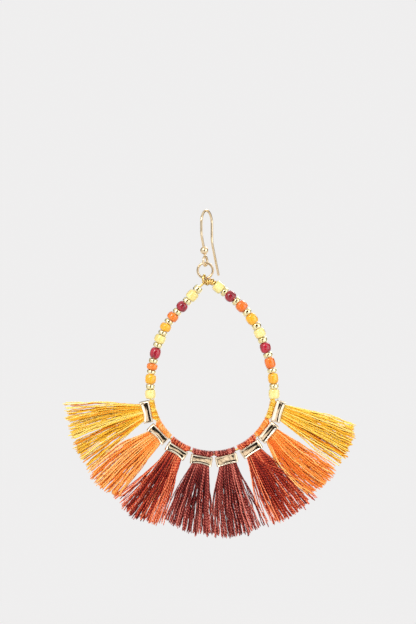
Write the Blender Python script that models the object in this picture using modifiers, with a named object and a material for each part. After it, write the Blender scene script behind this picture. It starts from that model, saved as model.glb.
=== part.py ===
"""Tassel earring: a fish hook of gold wire, a jump ring and a beaded teardrop hoop with eight thread tassels.

Metres, +Z up. The viewer looks along +Y. The origin is the inner top of the hook's arch, where it sits
in the ear lobe. Lengths below are in millimetres and angles in degrees, unless a line says otherwise.
"""

import math

import bmesh
import bpy
from mathutils import Vector

MM = 0.001

# Room between neighbours
RING_GAP = 0.12
HOOP_GAP = 0.20
BEAD_GAP = 0.22
BORE_CLEARANCE = 0.20
HEAD_CLEARANCE = 0.16
NECK_CLEARANCE = 0.14

# Points round a link
LINK_STEPS = 16

# Ear hook. Its flat shape stands turned from the line of sight, and forward is the side with the ball.
HOOK_WIRE = 0.80
HOOK_TURN = 25.0
ARCH_RADIUS = 4.10
HOOK_BALL = 2.60
HOOK_EYE_RADIUS = 1.48
HOOK_STEP_TURN = 13.0
# Rows of straight run, bend radius and turn, from the top of the arch. A turn is positive to the left.
HOOK_FRONT = (
    (0.0, ARCH_RADIUS, -90.0),
    (2.8, 5.0, -23.5),
    (4.7, 0.0, 0.0),
)
HOOK_NECK = (
    (0.3, 3.0, 14.0),
    (1.1, 0.0, 0.0),
)
HOOK_BACK = (
    (0.0, ARCH_RADIUS, 90.0),
    (4.3, 8.0, -26.0),
    (10.1, 0.0, 0.0),
)

# Jump ring
RING_WIRE = 0.75
RING_RADIUS = 2.50

# Hoop wire. Its centre below and beside the bottom of its eye, and the route of each arm from that centre,
# are shares of HOOP_RADIUS.
HOOP_WIRE = 0.70
HOOP_RADIUS = 20.46
HOOP_CENTRE_BELOW = 1.765
HOOP_CENTRE_ASIDE = 0.129
HOOP_EYE_RADIUS = 1.30
HOOP_EYE_TURN = 55.0
HOOP_EYE_ASIDE = -0.35
LEFT_ROUTE = (
    (-0.181, 1.724),
    (-0.237, 1.661),
    (-0.406, 1.471),
    (-0.568, 1.298),
    (-0.702, 1.137),
    (-0.798, 0.960),
    (-0.882, 0.758),
    (-0.950, 0.505),
    (-0.989, 0.266),
    (-1.000, 0.000),
)
RIGHT_ROUTE = (
    (-0.070, 1.779),
    (-0.020, 1.779),
    (0.020, 1.765),
    (0.056, 1.737),
    (0.150, 1.659),
    (0.206, 1.618),
    (0.392, 1.471),
    (0.561, 1.294),
    (0.715, 1.068),
    (0.815, 0.839),
    (0.900, 0.597),
    (0.965, 0.350),
    (0.994, 0.137),
    (1.000, 0.000),
)
# Spacing of the points that the beads are strung by, and of the wire's own points
ROUTE_STEP = 0.2
ROUTE_PAST = 60
ARM_STEP = 2.6
BEND_STEP = 0.7
BEND_END = 4.0
ARC_STEPS = 34

# Coil that closes the hoop, wound on the right arm below the eye
COIL_START = 0.75
COIL_TURNS = 3
COIL_PITCH = 0.66
COIL_DIAMETER = 1.90
COIL_VALLEY = 1.45
COIL_SHOULDER = 0.05
# Each end of the hoop's wire stops this far to its own side and above the bottom of the eye
END_ASIDE = 0.06
END_UP = 0.05

# Beads. Rows of kind, share of the strung length, and diameter as a share of BEAD_DIAMETER, from the
# hoop's eye down. A string runs from FIRST on its arm to PAST below the level of the hoop's centre.
BEAD_DIAMETER = 3.75
BORE_DIAMETER = HOOP_WIRE + 2 * BORE_CLEARANCE
LEFT_FIRST = 1.85
LEFT_PAST = 2.30
LEFT_BEADS = (
    ("gold", 0.61, 0.80),
    ("pale", 0.85, 0.99),
    ("gold", 0.48, 0.80),
    ("red", 0.84, 1.00),
    ("gold", 0.45, 0.80),
    ("orange", 0.70, 1.00),
    ("gold", 0.42, 0.80),
    ("amber", 0.71, 1.00),
    ("gold", 0.42, 0.80),
    ("pale", 0.73, 1.00),
    ("gold", 0.45, 0.80),
    ("red", 0.99, 0.95),
    ("gold", 0.45, 0.80),
    ("orange", 0.57, 0.97),
    ("gold", 0.38, 0.80),
    ("amber", 0.88, 0.97),
    ("gold", 0.48, 0.80),
    ("pale", 0.83, 0.95),
)
RIGHT_FIRST = 3.65
RIGHT_PAST = 2.30
RIGHT_BEADS = (
    ("pale", 0.88, 1.00),
    ("gold", 0.45, 0.84),
    ("red", 0.87, 1.00),
    ("gold", 0.45, 0.84),
    ("orange", 0.88, 1.02),
    ("gold", 0.50, 0.84),
    ("amber", 0.98, 1.01),
    ("gold", 0.54, 0.84),
    ("pale", 0.80, 1.01),
    ("gold", 0.51, 0.84),
    ("red", 0.93, 0.97),
    ("gold", 0.46, 0.84),
    ("orange", 0.96, 0.93),
    ("gold", 0.43, 0.84),
    ("amber", 0.95, 0.94),
    ("gold", 0.47, 0.84),
    ("pale", 0.87, 0.97),
)
# Half profiles of a bead: share of its radius, share of its length
ROUND_PROFILE = ((0.62, 0.50), (0.90, 0.33), (1.00, 0.00), (0.90, -0.33), (0.62, -0.50))
BARREL_PROFILE = ((0.76, 0.50), (0.97, 0.36), (1.00, 0.00), (0.97, -0.36), (0.76, -0.50))
BEAD_SIDES = 12
SPACER_SIDES = 10

# Cuff, a flattened sleeve with flared rims
CUFF_WIDTH = 6.70
CUFF_DEPTH = 3.50
CUFF_HEIGHT = 3.10
CUFF_WALL = 0.40
CUFF_CORNER = 0.85
CUFF_DROP = 2.20
CUFF_WAIST = 0.22
# Share of the cuff's half height, and share of the waist's draw at that level
CUFF_LEVELS = ((1.0, 0.0), (0.62, 1.0), (-0.62, 1.0), (-1.0, 0.0))
CUFF_CORNER_STEPS = 4
# The inner corner is rounder than an even wall would leave it
CUFF_INNER_CORNER = CUFF_CORNER - 0.5 * CUFF_WALL

# Tassels. The fringe reaches FRINGE_REACH from the middle of the cuff.
FRINGE_REACH = 24.2
FRINGE_BULGE = 1.5
HEAD_RADIUS = 1.15
HEAD_WIDTH = 6.20
NECK_WIDTH = CUFF_WIDTH - 2 * (CUFF_WALL + CUFF_WAIST + NECK_CLEARANCE)
NECK_DEPTH = CUFF_DEPTH - 2 * (CUFF_WALL + CUFF_WAIST + NECK_CLEARANCE)
NECK_INSET = 0.1
FRINGE_DEPTH = 4.6
# Share of the fringe's length after which it bends from the cuff's direction to its own
FRINGE_BEND = 0.4
NOTCH_BULGE = 0.8 * FRINGE_BULGE
HEAD_BORE = HOOP_WIRE + 2 * HEAD_CLEARANCE
BORE_STEPS = 3
LOCKS = 6
# Rows of colour, seat angle from straight down, cuff lean from the seat, fringe lean and end lean from
# the cuff, then reach and end width as shares of FRINGE_REACH
TASSELS = (
    ("yellow", -73.2, -4.5, 7.3, 6.1, 1.01, 0.890),
    ("orange", -53.4, 8.4, -1.9, -1.0, 1.01, 0.540),
    ("rust", -31.5, -0.4, 1.8, 7.1, 0.99, 0.575),
    ("maroon", -9.0, -1.2, 0.8, -3.8, 0.95, 0.650),
    ("maroon", 11.9, 2.1, -4.1, -1.7, 0.98, 0.620),
    ("rust", 34.7, -1.4, -2.2, -0.5, 1.03, 0.504),
    ("orange", 55.2, -5.4, -2.7, 3.1, 1.00, 0.550),
    ("yellow", 74.3, -1.9, -7.6, -5.2, 1.00, 0.555),
)
# Levels of the head: share of HEAD_RADIUS past the wire, share of HEAD_WIDTH, share of HEAD_RADIUS deep
HEAD_LEVELS = ((-1.00, 0.92, 0.36), (-0.72, 0.97, 0.76), (-0.10, 1.00, 1.00), (0.36, 0.95, 1.00))
HEAD_GROOVE = 0.04
# Levels of the fringe: share of its length, share of the widening, share of the deepening, groove depth.
# The last but one is the level of the notches between the locks.
FRINGE_LEVELS = (
    (0.10, 0.11, 0.25, 0.10),
    (0.40, 0.42, 0.80, 0.22),
    (0.84, 0.86, 1.00, 0.34),
    (1.00, 1.00, 1.00, 0.34),
)
# Length of each lock's tip past the notches, as a share of the length left
LOCK_TIPS = (0.78, 1.02, 0.88, 1.05, 0.92, 0.80)
TIP_WIDTH = 0.72
TIP_DEPTH = 0.60
EDGE_THIN = 0.42

HIDDEN = "guides"
SHOWN = "tassel_earring"

# Colours as linear red, green, blue, then roughness and metallic
FINISHES = {
    "hook_gold": ((0.80, 0.58, 0.30), 0.22, 1.0),
    "ring_gold": ((0.80, 0.58, 0.30), 0.22, 1.0),
    "hoop_gold": ((0.80, 0.56, 0.27), 0.25, 1.0),
    "cuff_gold": ((0.84, 0.66, 0.38), 0.24, 1.0),
    "bead_gold": ((0.82, 0.62, 0.32), 0.20, 1.0),
    "bead_red": ((0.42, 0.01, 0.03), 0.12, 0.0),
    "bead_orange": ((0.95, 0.20, 0.03), 0.15, 0.0),
    "bead_amber": ((0.97, 0.50, 0.03), 0.14, 0.0),
    "bead_pale": ((0.97, 0.82, 0.32), 0.18, 0.0),
    "thread_yellow": ((0.78, 0.43, 0.04), 0.75, 0.0),
    "thread_orange": ((0.86, 0.23, 0.04), 0.75, 0.0),
    "thread_rust": ((0.42, 0.05, 0.02), 0.75, 0.0),
    "thread_maroon": ((0.17, 0.02, 0.02), 0.75, 0.0),
}


def remove_all():
    """Empties the scene that the script opens in."""
    for obj in list(bpy.data.objects):
        bpy.data.objects.remove(obj, do_unlink=True)


def collection(name, hidden=False):
    """A named collection of the scene."""
    made = bpy.data.collections.new(name)
    bpy.context.scene.collection.children.link(made)
    made.hide_render = hidden
    return made


def finish(name):
    """The material of one slot."""
    if name in bpy.data.materials:
        return bpy.data.materials[name]
    colour, roughness, metallic = FINISHES[name]
    made = bpy.data.materials.new(name)
    made.use_nodes = True
    made.diffuse_color = (*colour, 1.0)
    shader = made.node_tree.nodes["Principled BSDF"]
    shader.inputs["Base Color"].default_value = (*colour, 1.0)
    shader.inputs["Roughness"].default_value = roughness
    shader.inputs["Metallic"].default_value = metallic
    return made


def add_object(name, data, slot, home, at=(0, 0, 0), parent=None):
    """Links an object with its material. Its place is a point in millimetres of the whole part's frame."""
    made = bpy.data.objects.new(name, data)
    bpy.data.collections[home].objects.link(made)
    if slot:
        data.materials.append(finish(slot))
    made.location = Vector(at) * MM
    if parent:
        made.parent = parent
        made.location -= parent.location
    return made


def helper(obj):
    """Marks an object as a guide that is no part of the earring."""
    obj.hide_render = True
    obj.display_type = "WIRE"


def wire_object(
    name, points, diameter, slot, home, at=(0, 0, 0), parent=None, closed=False, swell=(), fine=1
):
    """A round wire through points given from its own place. swell scales the diameter at each point."""
    curve = bpy.data.curves.new(name, "CURVE")
    curve.dimensions = "3D"
    curve.bevel_depth = diameter / 2 * MM
    curve.bevel_resolution = fine
    curve.use_fill_caps = not closed
    spline = curve.splines.new("POLY")
    spline.points.add(len(points) - 1)
    for i, place in enumerate(points):
        spline.points[i].co = (*(Vector(place) * MM), 1.0)
        spline.points[i].radius = swell[i] if swell else 1.0
    spline.use_cyclic_u = closed
    spline.use_smooth = True
    return add_object(name, curve, slot, home, at, parent)


def to_mesh(obj):
    """Turns a curve into a mesh object with welded caps, in the same place."""
    name, parent, where = obj.name, obj.parent, obj.location.copy()
    home = obj.users_collection[0].name
    bpy.context.view_layer.update()
    graph = bpy.context.evaluated_depsgraph_get()
    mesh = bpy.data.meshes.new_from_object(obj.evaluated_get(graph), depsgraph=graph)
    shape = bmesh.new()
    shape.from_mesh(mesh)
    bmesh.ops.remove_doubles(shape, verts=shape.verts, dist=1e-7)
    bmesh.ops.recalc_face_normals(shape, faces=shape.faces)
    shape.to_mesh(mesh)
    shape.free()
    bpy.data.objects.remove(obj, do_unlink=True)
    mesh.shade_smooth()
    made = bpy.data.objects.new(name, mesh)
    bpy.data.collections[home].objects.link(made)
    made.parent = parent
    made.location = where
    return made


def combine(obj, other, operation):
    """Joins or cuts with a Boolean modifier, and keeps the other mesh as a guide."""
    helper(other)
    change = obj.modifiers.new(other.name, "BOOLEAN")
    change.operation = operation
    change.solver = "EXACT"
    change.object = other


def ring_points(radius, across):
    """Points of a circle in the upright plane that holds the level direction across."""
    found = []
    for i in range(LINK_STEPS):
        angle = 2 * math.pi * i / LINK_STEPS
        found.append(Vector(across) * math.cos(angle) * radius + Vector((0, 0, 1)) * math.sin(angle) * radius)
    return found


def walk(start, heading, legs):
    """Flat points of a wire bent by rows of straight run, bend radius and turn, and its last heading."""
    place = Vector(start)
    angle = math.radians(heading)
    found = [place.copy()]
    for straight, radius, turn in legs:
        if straight:
            place = place + Vector((math.cos(angle), math.sin(angle))) * straight
            found.append(place.copy())
        steps = max(1, round(abs(turn) / HOOK_STEP_TURN))
        step = math.radians(turn) / steps
        for _ in range(steps if turn else 0):
            chord = 2 * radius * math.sin(abs(step) / 2)
            place = place + Vector((math.cos(angle + step / 2), math.sin(angle + step / 2))) * chord
            angle += step
            found.append(place.copy())
    return found, math.degrees(angle)


def forward():
    """Level direction from the back of the hook to its front."""
    turn = math.radians(HOOK_TURN)
    return Vector((-math.sin(turn), -math.cos(turn), 0))


def on_hook(flat):
    """A flat point of the hook, forward and up, in the part's frame."""
    return forward() * flat.x + Vector((0, 0, flat.y))


def hook_lines():
    """Flat points of the hook's wire, of its ball's centre and of its eye's centre."""
    top = Vector((0, HOOK_WIRE / 2))
    front, heading = walk(top, 0.0, HOOK_FRONT)
    neck, heading = walk(front[-1], heading, HOOK_NECK)
    back, _ = walk(top, 180.0, HOOK_BACK)
    angle = math.radians(heading)
    eye = neck[-1] + Vector((math.cos(angle), math.sin(angle))) * HOOK_EYE_RADIUS
    return back[::-1] + front[1:] + neck[1:], front[-1], eye


def ring_centre():
    """The jump ring's wire rests in the bottom of the hook's eye."""
    eye = on_hook(hook_lines()[2])
    top = eye.z - HOOK_EYE_RADIUS + HOOK_WIRE / 2 + RING_GAP + RING_WIRE / 2
    return Vector((eye.x, eye.y, top - RING_RADIUS))


def hoop_eye_centre():
    """The top of the hoop's eye rests in the bottom of the jump ring."""
    ring = ring_centre()
    top = ring.z - math.sqrt(RING_RADIUS**2 - HOOP_EYE_ASIDE**2) + RING_WIRE / 2 + HOOP_GAP + HOOP_WIRE / 2
    return Vector((ring.x + HOOP_EYE_ASIDE, ring.y, top - HOOP_EYE_RADIUS))


def hoop_centre():
    bottom = hoop_eye_centre() - Vector((0, 0, HOOP_EYE_RADIUS))
    return bottom + Vector((HOOP_CENTRE_ASIDE, 0, -HOOP_CENTRE_BELOW)) * HOOP_RADIUS


def smoothed(points, step):
    """A Catmull-Rom line through points, sampled about every step."""
    ends = [2 * points[0] - points[1]] + list(points) + [2 * points[-1] - points[-2]]
    found = []
    for a, b, c, d in zip(ends, ends[1:], ends[2:], ends[3:]):
        count = max(1, round((c - b).length / step))
        for k in range(count):
            t = k / count
            square = (2 * a - 5 * b + 4 * c - d) * t**2
            cube = (3 * b - a - 3 * c + d) * t**3
            found.append(0.5 * (2 * b + (c - a) * t + square + cube))
    return found + [points[-1]]


def arm_line(route, side):
    """Closely spaced points of one arm, from the eye's bottom down and a little way round the bottom arc."""
    centre = hoop_centre()
    start = hoop_eye_centre() - Vector((0, 0, HOOP_EYE_RADIUS))
    given = [start] + [centre + Vector((x, 0, z)) * HOOP_RADIUS for x, z in route]
    line = smoothed(given, ROUTE_STEP)
    for i in range(1, ROUTE_PAST):
        angle = i * ROUTE_STEP / HOOP_RADIUS
        line.append(centre + Vector((side * math.cos(angle), 0, -math.sin(angle))) * HOOP_RADIUS)
    return line


def along(line, distance):
    """Point at a distance along a line of points."""
    for a, b in zip(line, line[1:]):
        step = (b - a).length
        if distance <= step:
            return a.lerp(b, distance / step)
        distance -= step
    return line[-1]


def arm_length(line):
    """Distance along an arm's line down to the level of the hoop's centre."""
    level = hoop_centre().z
    total = 0.0
    for a, b in zip(line, line[1:]):
        if b.z <= level + 1e-6:
            break
        total += (b - a).length
    return total


def arm_points(line, coiled):
    """Points for the wire of one arm, closer where it bends, with the swell of the coil where it has one."""
    length = arm_length(line)
    marks = [(0.0, 1.0)]
    if coiled:
        for i in range(2 * COIL_TURNS + 1):
            wide = COIL_DIAMETER if i % 2 else COIL_VALLEY
            marks.append((COIL_START + i * COIL_PITCH / 2, wide / HOOP_WIRE))
        marks.insert(1, (COIL_START - COIL_SHOULDER, 1.0))
        marks.append((marks[-1][0] + COIL_SHOULDER, 1.0))
    while marks[-1][0] < BEND_END:
        marks.append((marks[-1][0] + BEND_STEP, 1.0))
    rest = length - marks[-1][0]
    count = round(rest / ARM_STEP)
    first = marks[-1][0]
    for i in range(1, count):
        marks.append((first + rest * i / count, 1.0))
    return [(along(line, distance), wide) for distance, wide in marks]


def build_hook():
    """Hook wire with its ball and its eye, as one soldered solid."""
    wire, ball, eye = hook_lines()
    points = [on_hook(place) for place in wire]
    hook = to_mesh(wire_object("ear_hook", points, HOOK_WIRE, "hook_gold", SHOWN, fine=2))
    mesh = bpy.data.meshes.new("hook_ball")
    shape = bmesh.new()
    bmesh.ops.create_uvsphere(shape, u_segments=12, v_segments=8, radius=HOOK_BALL / 2 * MM)
    shape.to_mesh(mesh)
    shape.free()
    combine(hook, add_object("hook_ball", mesh, "hook_gold", HIDDEN, on_hook(ball)), "UNION")
    circle = ring_points(HOOK_EYE_RADIUS, forward())
    loop = wire_object("hook_eye", circle, HOOK_WIRE, "hook_gold", HIDDEN, on_hook(eye), closed=True)
    combine(hook, to_mesh(loop), "UNION")


def build_ring():
    """Jump ring, with its origin in the wire that rests in the hook's eye."""
    centre = ring_centre()
    top = centre + Vector((0, 0, RING_RADIUS))
    circle = [place + centre - top for place in ring_points(RING_RADIUS, (1, 0, 0))]
    wire_object("jump_ring", circle, RING_WIRE, "ring_gold", SHOWN, top, closed=True)


def build_hoop(pivot, left, right):
    """Teardrop hoop of wire with its eye and its coil, as one solid."""
    centre = hoop_centre()
    down = arm_points(left, False)
    up = arm_points(right, True)[::-1]
    arc = []
    for i in range(ARC_STEPS + 1):
        angle = math.pi + math.pi * i / ARC_STEPS
        arc.append((centre + Vector((math.cos(angle), 0, math.sin(angle))) * HOOP_RADIUS, 1.0))
    route = down + arc + up
    eye = hoop_eye_centre()
    points = [place - eye for place, _ in route]
    swell = [wide for _, wide in route]
    points[0] += Vector((-END_ASIDE, 0.0, END_UP))
    points[-1] += Vector((END_ASIDE, 0.0, END_UP))
    made = wire_object("hoop_wire", points, HOOP_WIRE, "hoop_gold", SHOWN, eye, pivot, swell=swell)
    hoop = to_mesh(made)
    turn = math.radians(HOOP_EYE_TURN)
    across = (math.cos(turn), math.sin(turn), 0)
    circle = ring_points(HOOP_EYE_RADIUS, across)
    loop = wire_object("hoop_eye", circle, HOOP_WIRE, "hoop_gold", HIDDEN, eye, pivot, closed=True)
    combine(hoop, to_mesh(loop), "UNION")


def bead_profile(kind, length, diameter):
    """Half profile of a drilled bead about its own Z axis, down the outer side and back up the bore."""
    profile = BARREL_PROFILE if kind == "pale" else ROUND_PROFILE
    bore = BORE_DIAMETER / 2
    line = [(diameter / 2 * wide, length * high) for wide, high in profile]
    line += [(bore, -length / 2), (bore, length / 2)]
    mesh = bpy.data.meshes.new(f"bead_{kind}")
    edges = [(i, (i + 1) % len(line)) for i in range(len(line))]
    mesh.from_pydata([(x * MM, 0, z * MM) for x, z in line], edges, [])
    return mesh


def build_beads(names, rows, line, first, past, pivot):
    """Strings drilled beads along one arm, each set straight on the wire that passes through it."""
    distance = first
    strung = arm_length(line) + past - first
    shares = sum(row[1] for row in rows)
    for number, (kind, length_share, wide_share) in enumerate(rows, 1):
        room = length_share / shares * strung
        length = room - BEAD_GAP
        start = along(line, distance + BEAD_GAP / 2)
        end = along(line, distance + room - BEAD_GAP / 2)
        middle = along(line, distance + room / 2)
        place = (start + end) / 4 + middle / 2
        mesh = bead_profile(kind, length, wide_share * BEAD_DIAMETER)
        bead = add_object(f"{names}_{number:02d}", mesh, f"bead_{kind}", SHOWN, place, pivot)
        upward = start - end
        bead.rotation_euler = (0, math.atan2(upward.x, upward.z), 0)
        turned = bead.modifiers.new("turned", "SCREW")
        turned.axis = "Z"
        turned.steps = turned.render_steps = SPACER_SIDES if kind == "gold" else BEAD_SIDES
        turned.use_merge_vertices = True
        turned.merge_threshold = 1e-6
        turned.use_smooth_shade = True
        distance += room


def oval_section(width, depth, corner):
    """Points round a rectangle with rounded corners, from the right side on."""
    found = []
    for cx, cy, start in ((1, 1, 0), (-1, 1, 90), (-1, -1, 180), (1, -1, 270)):
        for i in range(CUFF_CORNER_STEPS + 1):
            angle = math.radians(start + 90 * i / CUFF_CORNER_STEPS)
            x = cx * (width / 2 - corner) + corner * math.cos(angle)
            y = cy * (depth / 2 - corner) + corner * math.sin(angle)
            found.append((x, y))
    return found


def cuff_mesh():
    """Flattened sleeve about its own Z axis, open at both ends and drawn in at the waist."""
    shape = bmesh.new()
    rings = []
    for inner in (False, True):
        wall = CUFF_WALL if inner else 0.0
        levels = CUFF_LEVELS[::-1] if inner else CUFF_LEVELS
        for high, drawn in levels:
            less = 2 * (wall + CUFF_WAIST * drawn)
            corner = CUFF_INNER_CORNER if inner else CUFF_CORNER
            section = oval_section(CUFF_WIDTH - less, CUFF_DEPTH - less, corner)
            level = high * CUFF_HEIGHT / 2
            rings.append([shape.verts.new(Vector((x, y, level)) * MM) for x, y in section])
    for ring, following in zip(rings, rings[1:] + rings[:1]):
        for i in range(len(ring)):
            j = (i + 1) % len(ring)
            shape.faces.new((ring[i], following[i], following[j], ring[j]))
    bmesh.ops.recalc_face_normals(shape, faces=shape.faces)
    mesh = bpy.data.meshes.new("cuff")
    shape.to_mesh(mesh)
    shape.free()
    mesh.materials.append(finish("cuff_gold"))
    mesh.shade_smooth()
    return mesh


def outward(angle):
    """Direction in the hoop's plane at an angle from straight down, positive to the right."""
    turn = math.radians(angle)
    return Vector((math.sin(turn), 0, -math.cos(turn)))


def sideways(angle):
    turn = math.radians(angle)
    return Vector((math.cos(turn), 0, math.sin(turn)))


def tassel_rows(seat, cuff_lean, fringe_lean, end_lean, reach, end_width):
    """Levels of one tassel from its head down: middle, sideways direction, half width, half depth, groove."""
    wire = hoop_centre() + outward(seat) * HOOP_RADIUS
    axis = outward(seat + cuff_lean)
    across = sideways(seat + cuff_lean)
    rows = []
    for past, wide, deep in HEAD_LEVELS:
        level = wire + axis * past * HEAD_RADIUS
        rows.append((level, across, HEAD_WIDTH / 2 * wide, HEAD_RADIUS * deep, HEAD_GROOVE))
    cuff = wire + axis * CUFF_DROP
    for side in (-1, 1):
        level = cuff + axis * side * (CUFF_HEIGHT / 2 - NECK_INSET)
        rows.append((level, across, NECK_WIDTH / 2, NECK_DEPTH / 2, HEAD_GROOVE))
    root = cuff + axis * (CUFF_HEIGHT / 2 - NECK_INSET)
    tip = cuff + outward(seat + cuff_lean + fringe_lean) * FRINGE_REACH * reach
    bend = root + axis * (tip - root).length * FRINGE_BEND
    for share, widening, deepening, groove in FRINGE_LEVELS:
        middle = root * (1 - share) ** 2 + bend * 2 * share * (1 - share) + tip * share**2
        half = NECK_WIDTH / 2 + (end_width * FRINGE_REACH - NECK_WIDTH) / 2 * widening
        deep = NECK_DEPTH / 2 + (FRINGE_DEPTH - NECK_DEPTH) / 2 * deepening
        rows.append((middle, sideways(seat + cuff_lean + end_lean * share), half, deep, groove))
    return rows


def section_points(row, stretch=0.0):
    """Front and back points across one level, ridges at odd places and grooves between locks at even ones."""
    middle, across, half, deep, groove = row
    down = Vector((across.z, 0, -across.x))
    front, back = [], []
    for j in range(2 * LOCKS + 1):
        x = j / LOCKS - 1
        thick = deep * (EDGE_THIN + (1 - EDGE_THIN) * math.sqrt(max(0.0, 1 - x * x)))
        if j % 2 == 0 and 0 < j < 2 * LOCKS:
            thick *= 1 - groove
        place = middle + across * half * x + down * stretch * (1 - x * x)
        front.append(place + Vector((0, -thick, 0)))
        back.append(place + Vector((0, thick, 0)))
    return front, back


def skin(shape, upper, lower):
    """Faces between two loops of points of the same count."""
    for i in range(len(upper)):
        j = (i + 1) % len(upper)
        shape.faces.new((upper[i], lower[i], lower[j], upper[j]))


def add_lock_tip(shape, root, notch, ends, lock):
    """One lock below the notches: it narrows, thins and is cut square."""
    (front, back), (front_end, back_end) = notch, ends
    span = range(2 * lock, 2 * lock + 3)
    past = LOCK_TIPS[lock]
    centre = (front_end[2 * lock + 1] + back_end[2 * lock + 1]) / 2
    base = (front[2 * lock + 1] + back[2 * lock + 1]) / 2
    tip_centre = base.lerp(centre, past)
    tips = []
    for line in (front_end, back_end):
        row = []
        for i in span:
            offset = line[i] - centre
            offset = Vector((offset.x * TIP_WIDTH, offset.y * TIP_DEPTH, offset.z * TIP_WIDTH))
            row.append(shape.verts.new((tip_centre + offset) * MM))
        tips.append(row)
    upper = [root[0][i] for i in span] + [root[1][i] for i in reversed(span)]
    lower = tips[0] + tips[1][::-1]
    skin(shape, upper, lower)
    shape.faces.new(lower[::-1])


def tassel_mesh(name, rows, origin):
    """Head, neck and fringe as one body of fused locks whose tips part."""
    shape = bmesh.new()
    shift = [(middle - origin, across, half, deep, groove) for middle, across, half, deep, groove in rows]
    loops = []
    for row in shift[:-1]:
        front, back = section_points(row, NOTCH_BULGE if row is shift[-2] else 0.0)
        loops.append(([shape.verts.new(p * MM) for p in front], [shape.verts.new(p * MM) for p in back]))
    for (front, back), (next_front, next_back) in zip(loops, loops[1:]):
        skin(shape, front + back[::-1], next_front + next_back[::-1])
    first_front, first_back = loops[0]
    for i in range(2 * LOCKS):
        shape.faces.new((first_front[i], first_front[i + 1], first_back[i + 1], first_back[i]))
    notch = section_points(shift[-2], NOTCH_BULGE)
    ends = section_points(shift[-1], FRINGE_BULGE)
    for lock in range(LOCKS):
        add_lock_tip(shape, loops[-1], notch, ends, lock)
    bmesh.ops.recalc_face_normals(shape, faces=shape.faces)
    mesh = bpy.data.meshes.new(name)
    shape.to_mesh(mesh)
    shape.free()
    mesh.shade_smooth()
    return mesh


def build_tassels(pivot):
    """Eight tassels over the bottom arc, each with its cuff."""
    cuff_shape = cuff_mesh()
    centre = hoop_centre()
    for number, (colour, seat, cuff_lean, *fringe) in enumerate(TASSELS, 1):
        wire = centre + outward(seat) * HOOP_RADIUS
        cuff = wire + outward(seat + cuff_lean) * CUFF_DROP
        sleeve = add_object(f"cuff_{number}", cuff_shape, None, SHOWN, cuff, pivot)
        sleeve.rotation_euler = (0, math.radians(-seat - cuff_lean), 0)
        name = f"tassel_{number}"
        mesh = tassel_mesh(name, tassel_rows(seat, cuff_lean, *fringe), cuff)
        tassel = add_object(name, mesh, f"thread_{colour}", SHOWN, cuff, pivot)
        bore = []
        for i in range(-BORE_STEPS, BORE_STEPS + 1):
            angle = seat + math.degrees(i * HEAD_WIDTH / (BORE_STEPS + 1) / HOOP_RADIUS)
            bore.append(centre + outward(angle) * HOOP_RADIUS - cuff)
        cutter = wire_object(f"bore_{number}", bore, HEAD_BORE, None, HIDDEN, cuff, pivot, fine=2)
        combine(tassel, to_mesh(cutter), "DIFFERENCE")


def build():
    remove_all()
    collection(SHOWN)
    collection(HIDDEN, hidden=True)
    build_hook()
    build_ring()
    pivot = bpy.data.objects.new("drop_pivot", None)
    bpy.data.collections[SHOWN].objects.link(pivot)
    pivot.location = ring_centre() * MM
    pivot.empty_display_size = 2 * MM
    left = arm_line(LEFT_ROUTE, -1)
    right = arm_line(RIGHT_ROUTE, 1)
    build_hoop(pivot, left, right)
    build_beads("bead_left", LEFT_BEADS, left, LEFT_FIRST, LEFT_PAST, pivot)
    build_beads("bead_right", RIGHT_BEADS, right, RIGHT_FIRST, RIGHT_PAST, pivot)
    build_tassels(pivot)


build()
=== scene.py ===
import math

import bpy
import numpy as np
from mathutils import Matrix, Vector


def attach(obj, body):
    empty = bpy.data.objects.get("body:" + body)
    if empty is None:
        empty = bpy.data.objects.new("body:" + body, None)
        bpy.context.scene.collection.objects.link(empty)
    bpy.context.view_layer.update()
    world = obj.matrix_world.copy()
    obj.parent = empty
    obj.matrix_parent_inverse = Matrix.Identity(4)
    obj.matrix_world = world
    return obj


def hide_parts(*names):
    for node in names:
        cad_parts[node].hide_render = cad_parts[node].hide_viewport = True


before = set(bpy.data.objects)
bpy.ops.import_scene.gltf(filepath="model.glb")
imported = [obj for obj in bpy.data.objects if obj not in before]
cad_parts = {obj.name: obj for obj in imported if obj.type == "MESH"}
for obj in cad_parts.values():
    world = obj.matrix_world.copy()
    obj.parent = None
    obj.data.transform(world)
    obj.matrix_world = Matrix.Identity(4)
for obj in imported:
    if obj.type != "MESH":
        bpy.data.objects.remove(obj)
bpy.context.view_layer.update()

# Looks of the tassel earring. Lengths are in millimetres, and angles in degrees, until a mesh is made.
MM = 0.001

# Camera: straight in front, aimed at the middle of the photograph
LENS = 100.0
SENSOR = 36.0
VIEW_HEIGHT = 205.9
AIM = (0.46, -0.96, -33.1)

# Cards that only show in reflections. They stand CARD_AWAY in front and behind, the warm one a little
# nearer. Each is given by its left, right, low and high edge, a white one by its inner and outer edge first.
CARD_AWAY = 300.0
CARD_NEARER = 1.0
CARD_MIDDLE = (0.0, -CARD_AWAY, -107.0)
DARK_CARD = (-100.0, 82.0, -214.0, -13.0)
UPPER_CARD = (-180.0, 180.0, -13.0, 135.0)
WARM_CARD = (-26.0, 82.0, -131.0, -49.0)
WHITE_CARDS = (("left", (-110.0, -300.0, -215.0, -10.0)), ("right", (92.0, 300.0, -215.0, -10.0)))
WHITE_GLOW = 1.2
# Their colours. PALE streaks the warm one, and GREY is under the white ones' glow.
DARK = (0.012, 0.010, 0.009, 1.0)
WARM = (0.16, 0.11, 0.08, 1.0)
PALE = (0.95, 0.84, 0.73, 1.0)
GREY = (0.20, 0.20, 0.20, 1.0)
BROWN = (0.10, 0.07, 0.04, 1.0)
# Brown cards on both sides: how far out, and their front, back, low and high edge
SIDE_AWAY = 800.0
SIDE_CARD = (250.0, 900.0, -210.0, 600.0)

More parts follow.
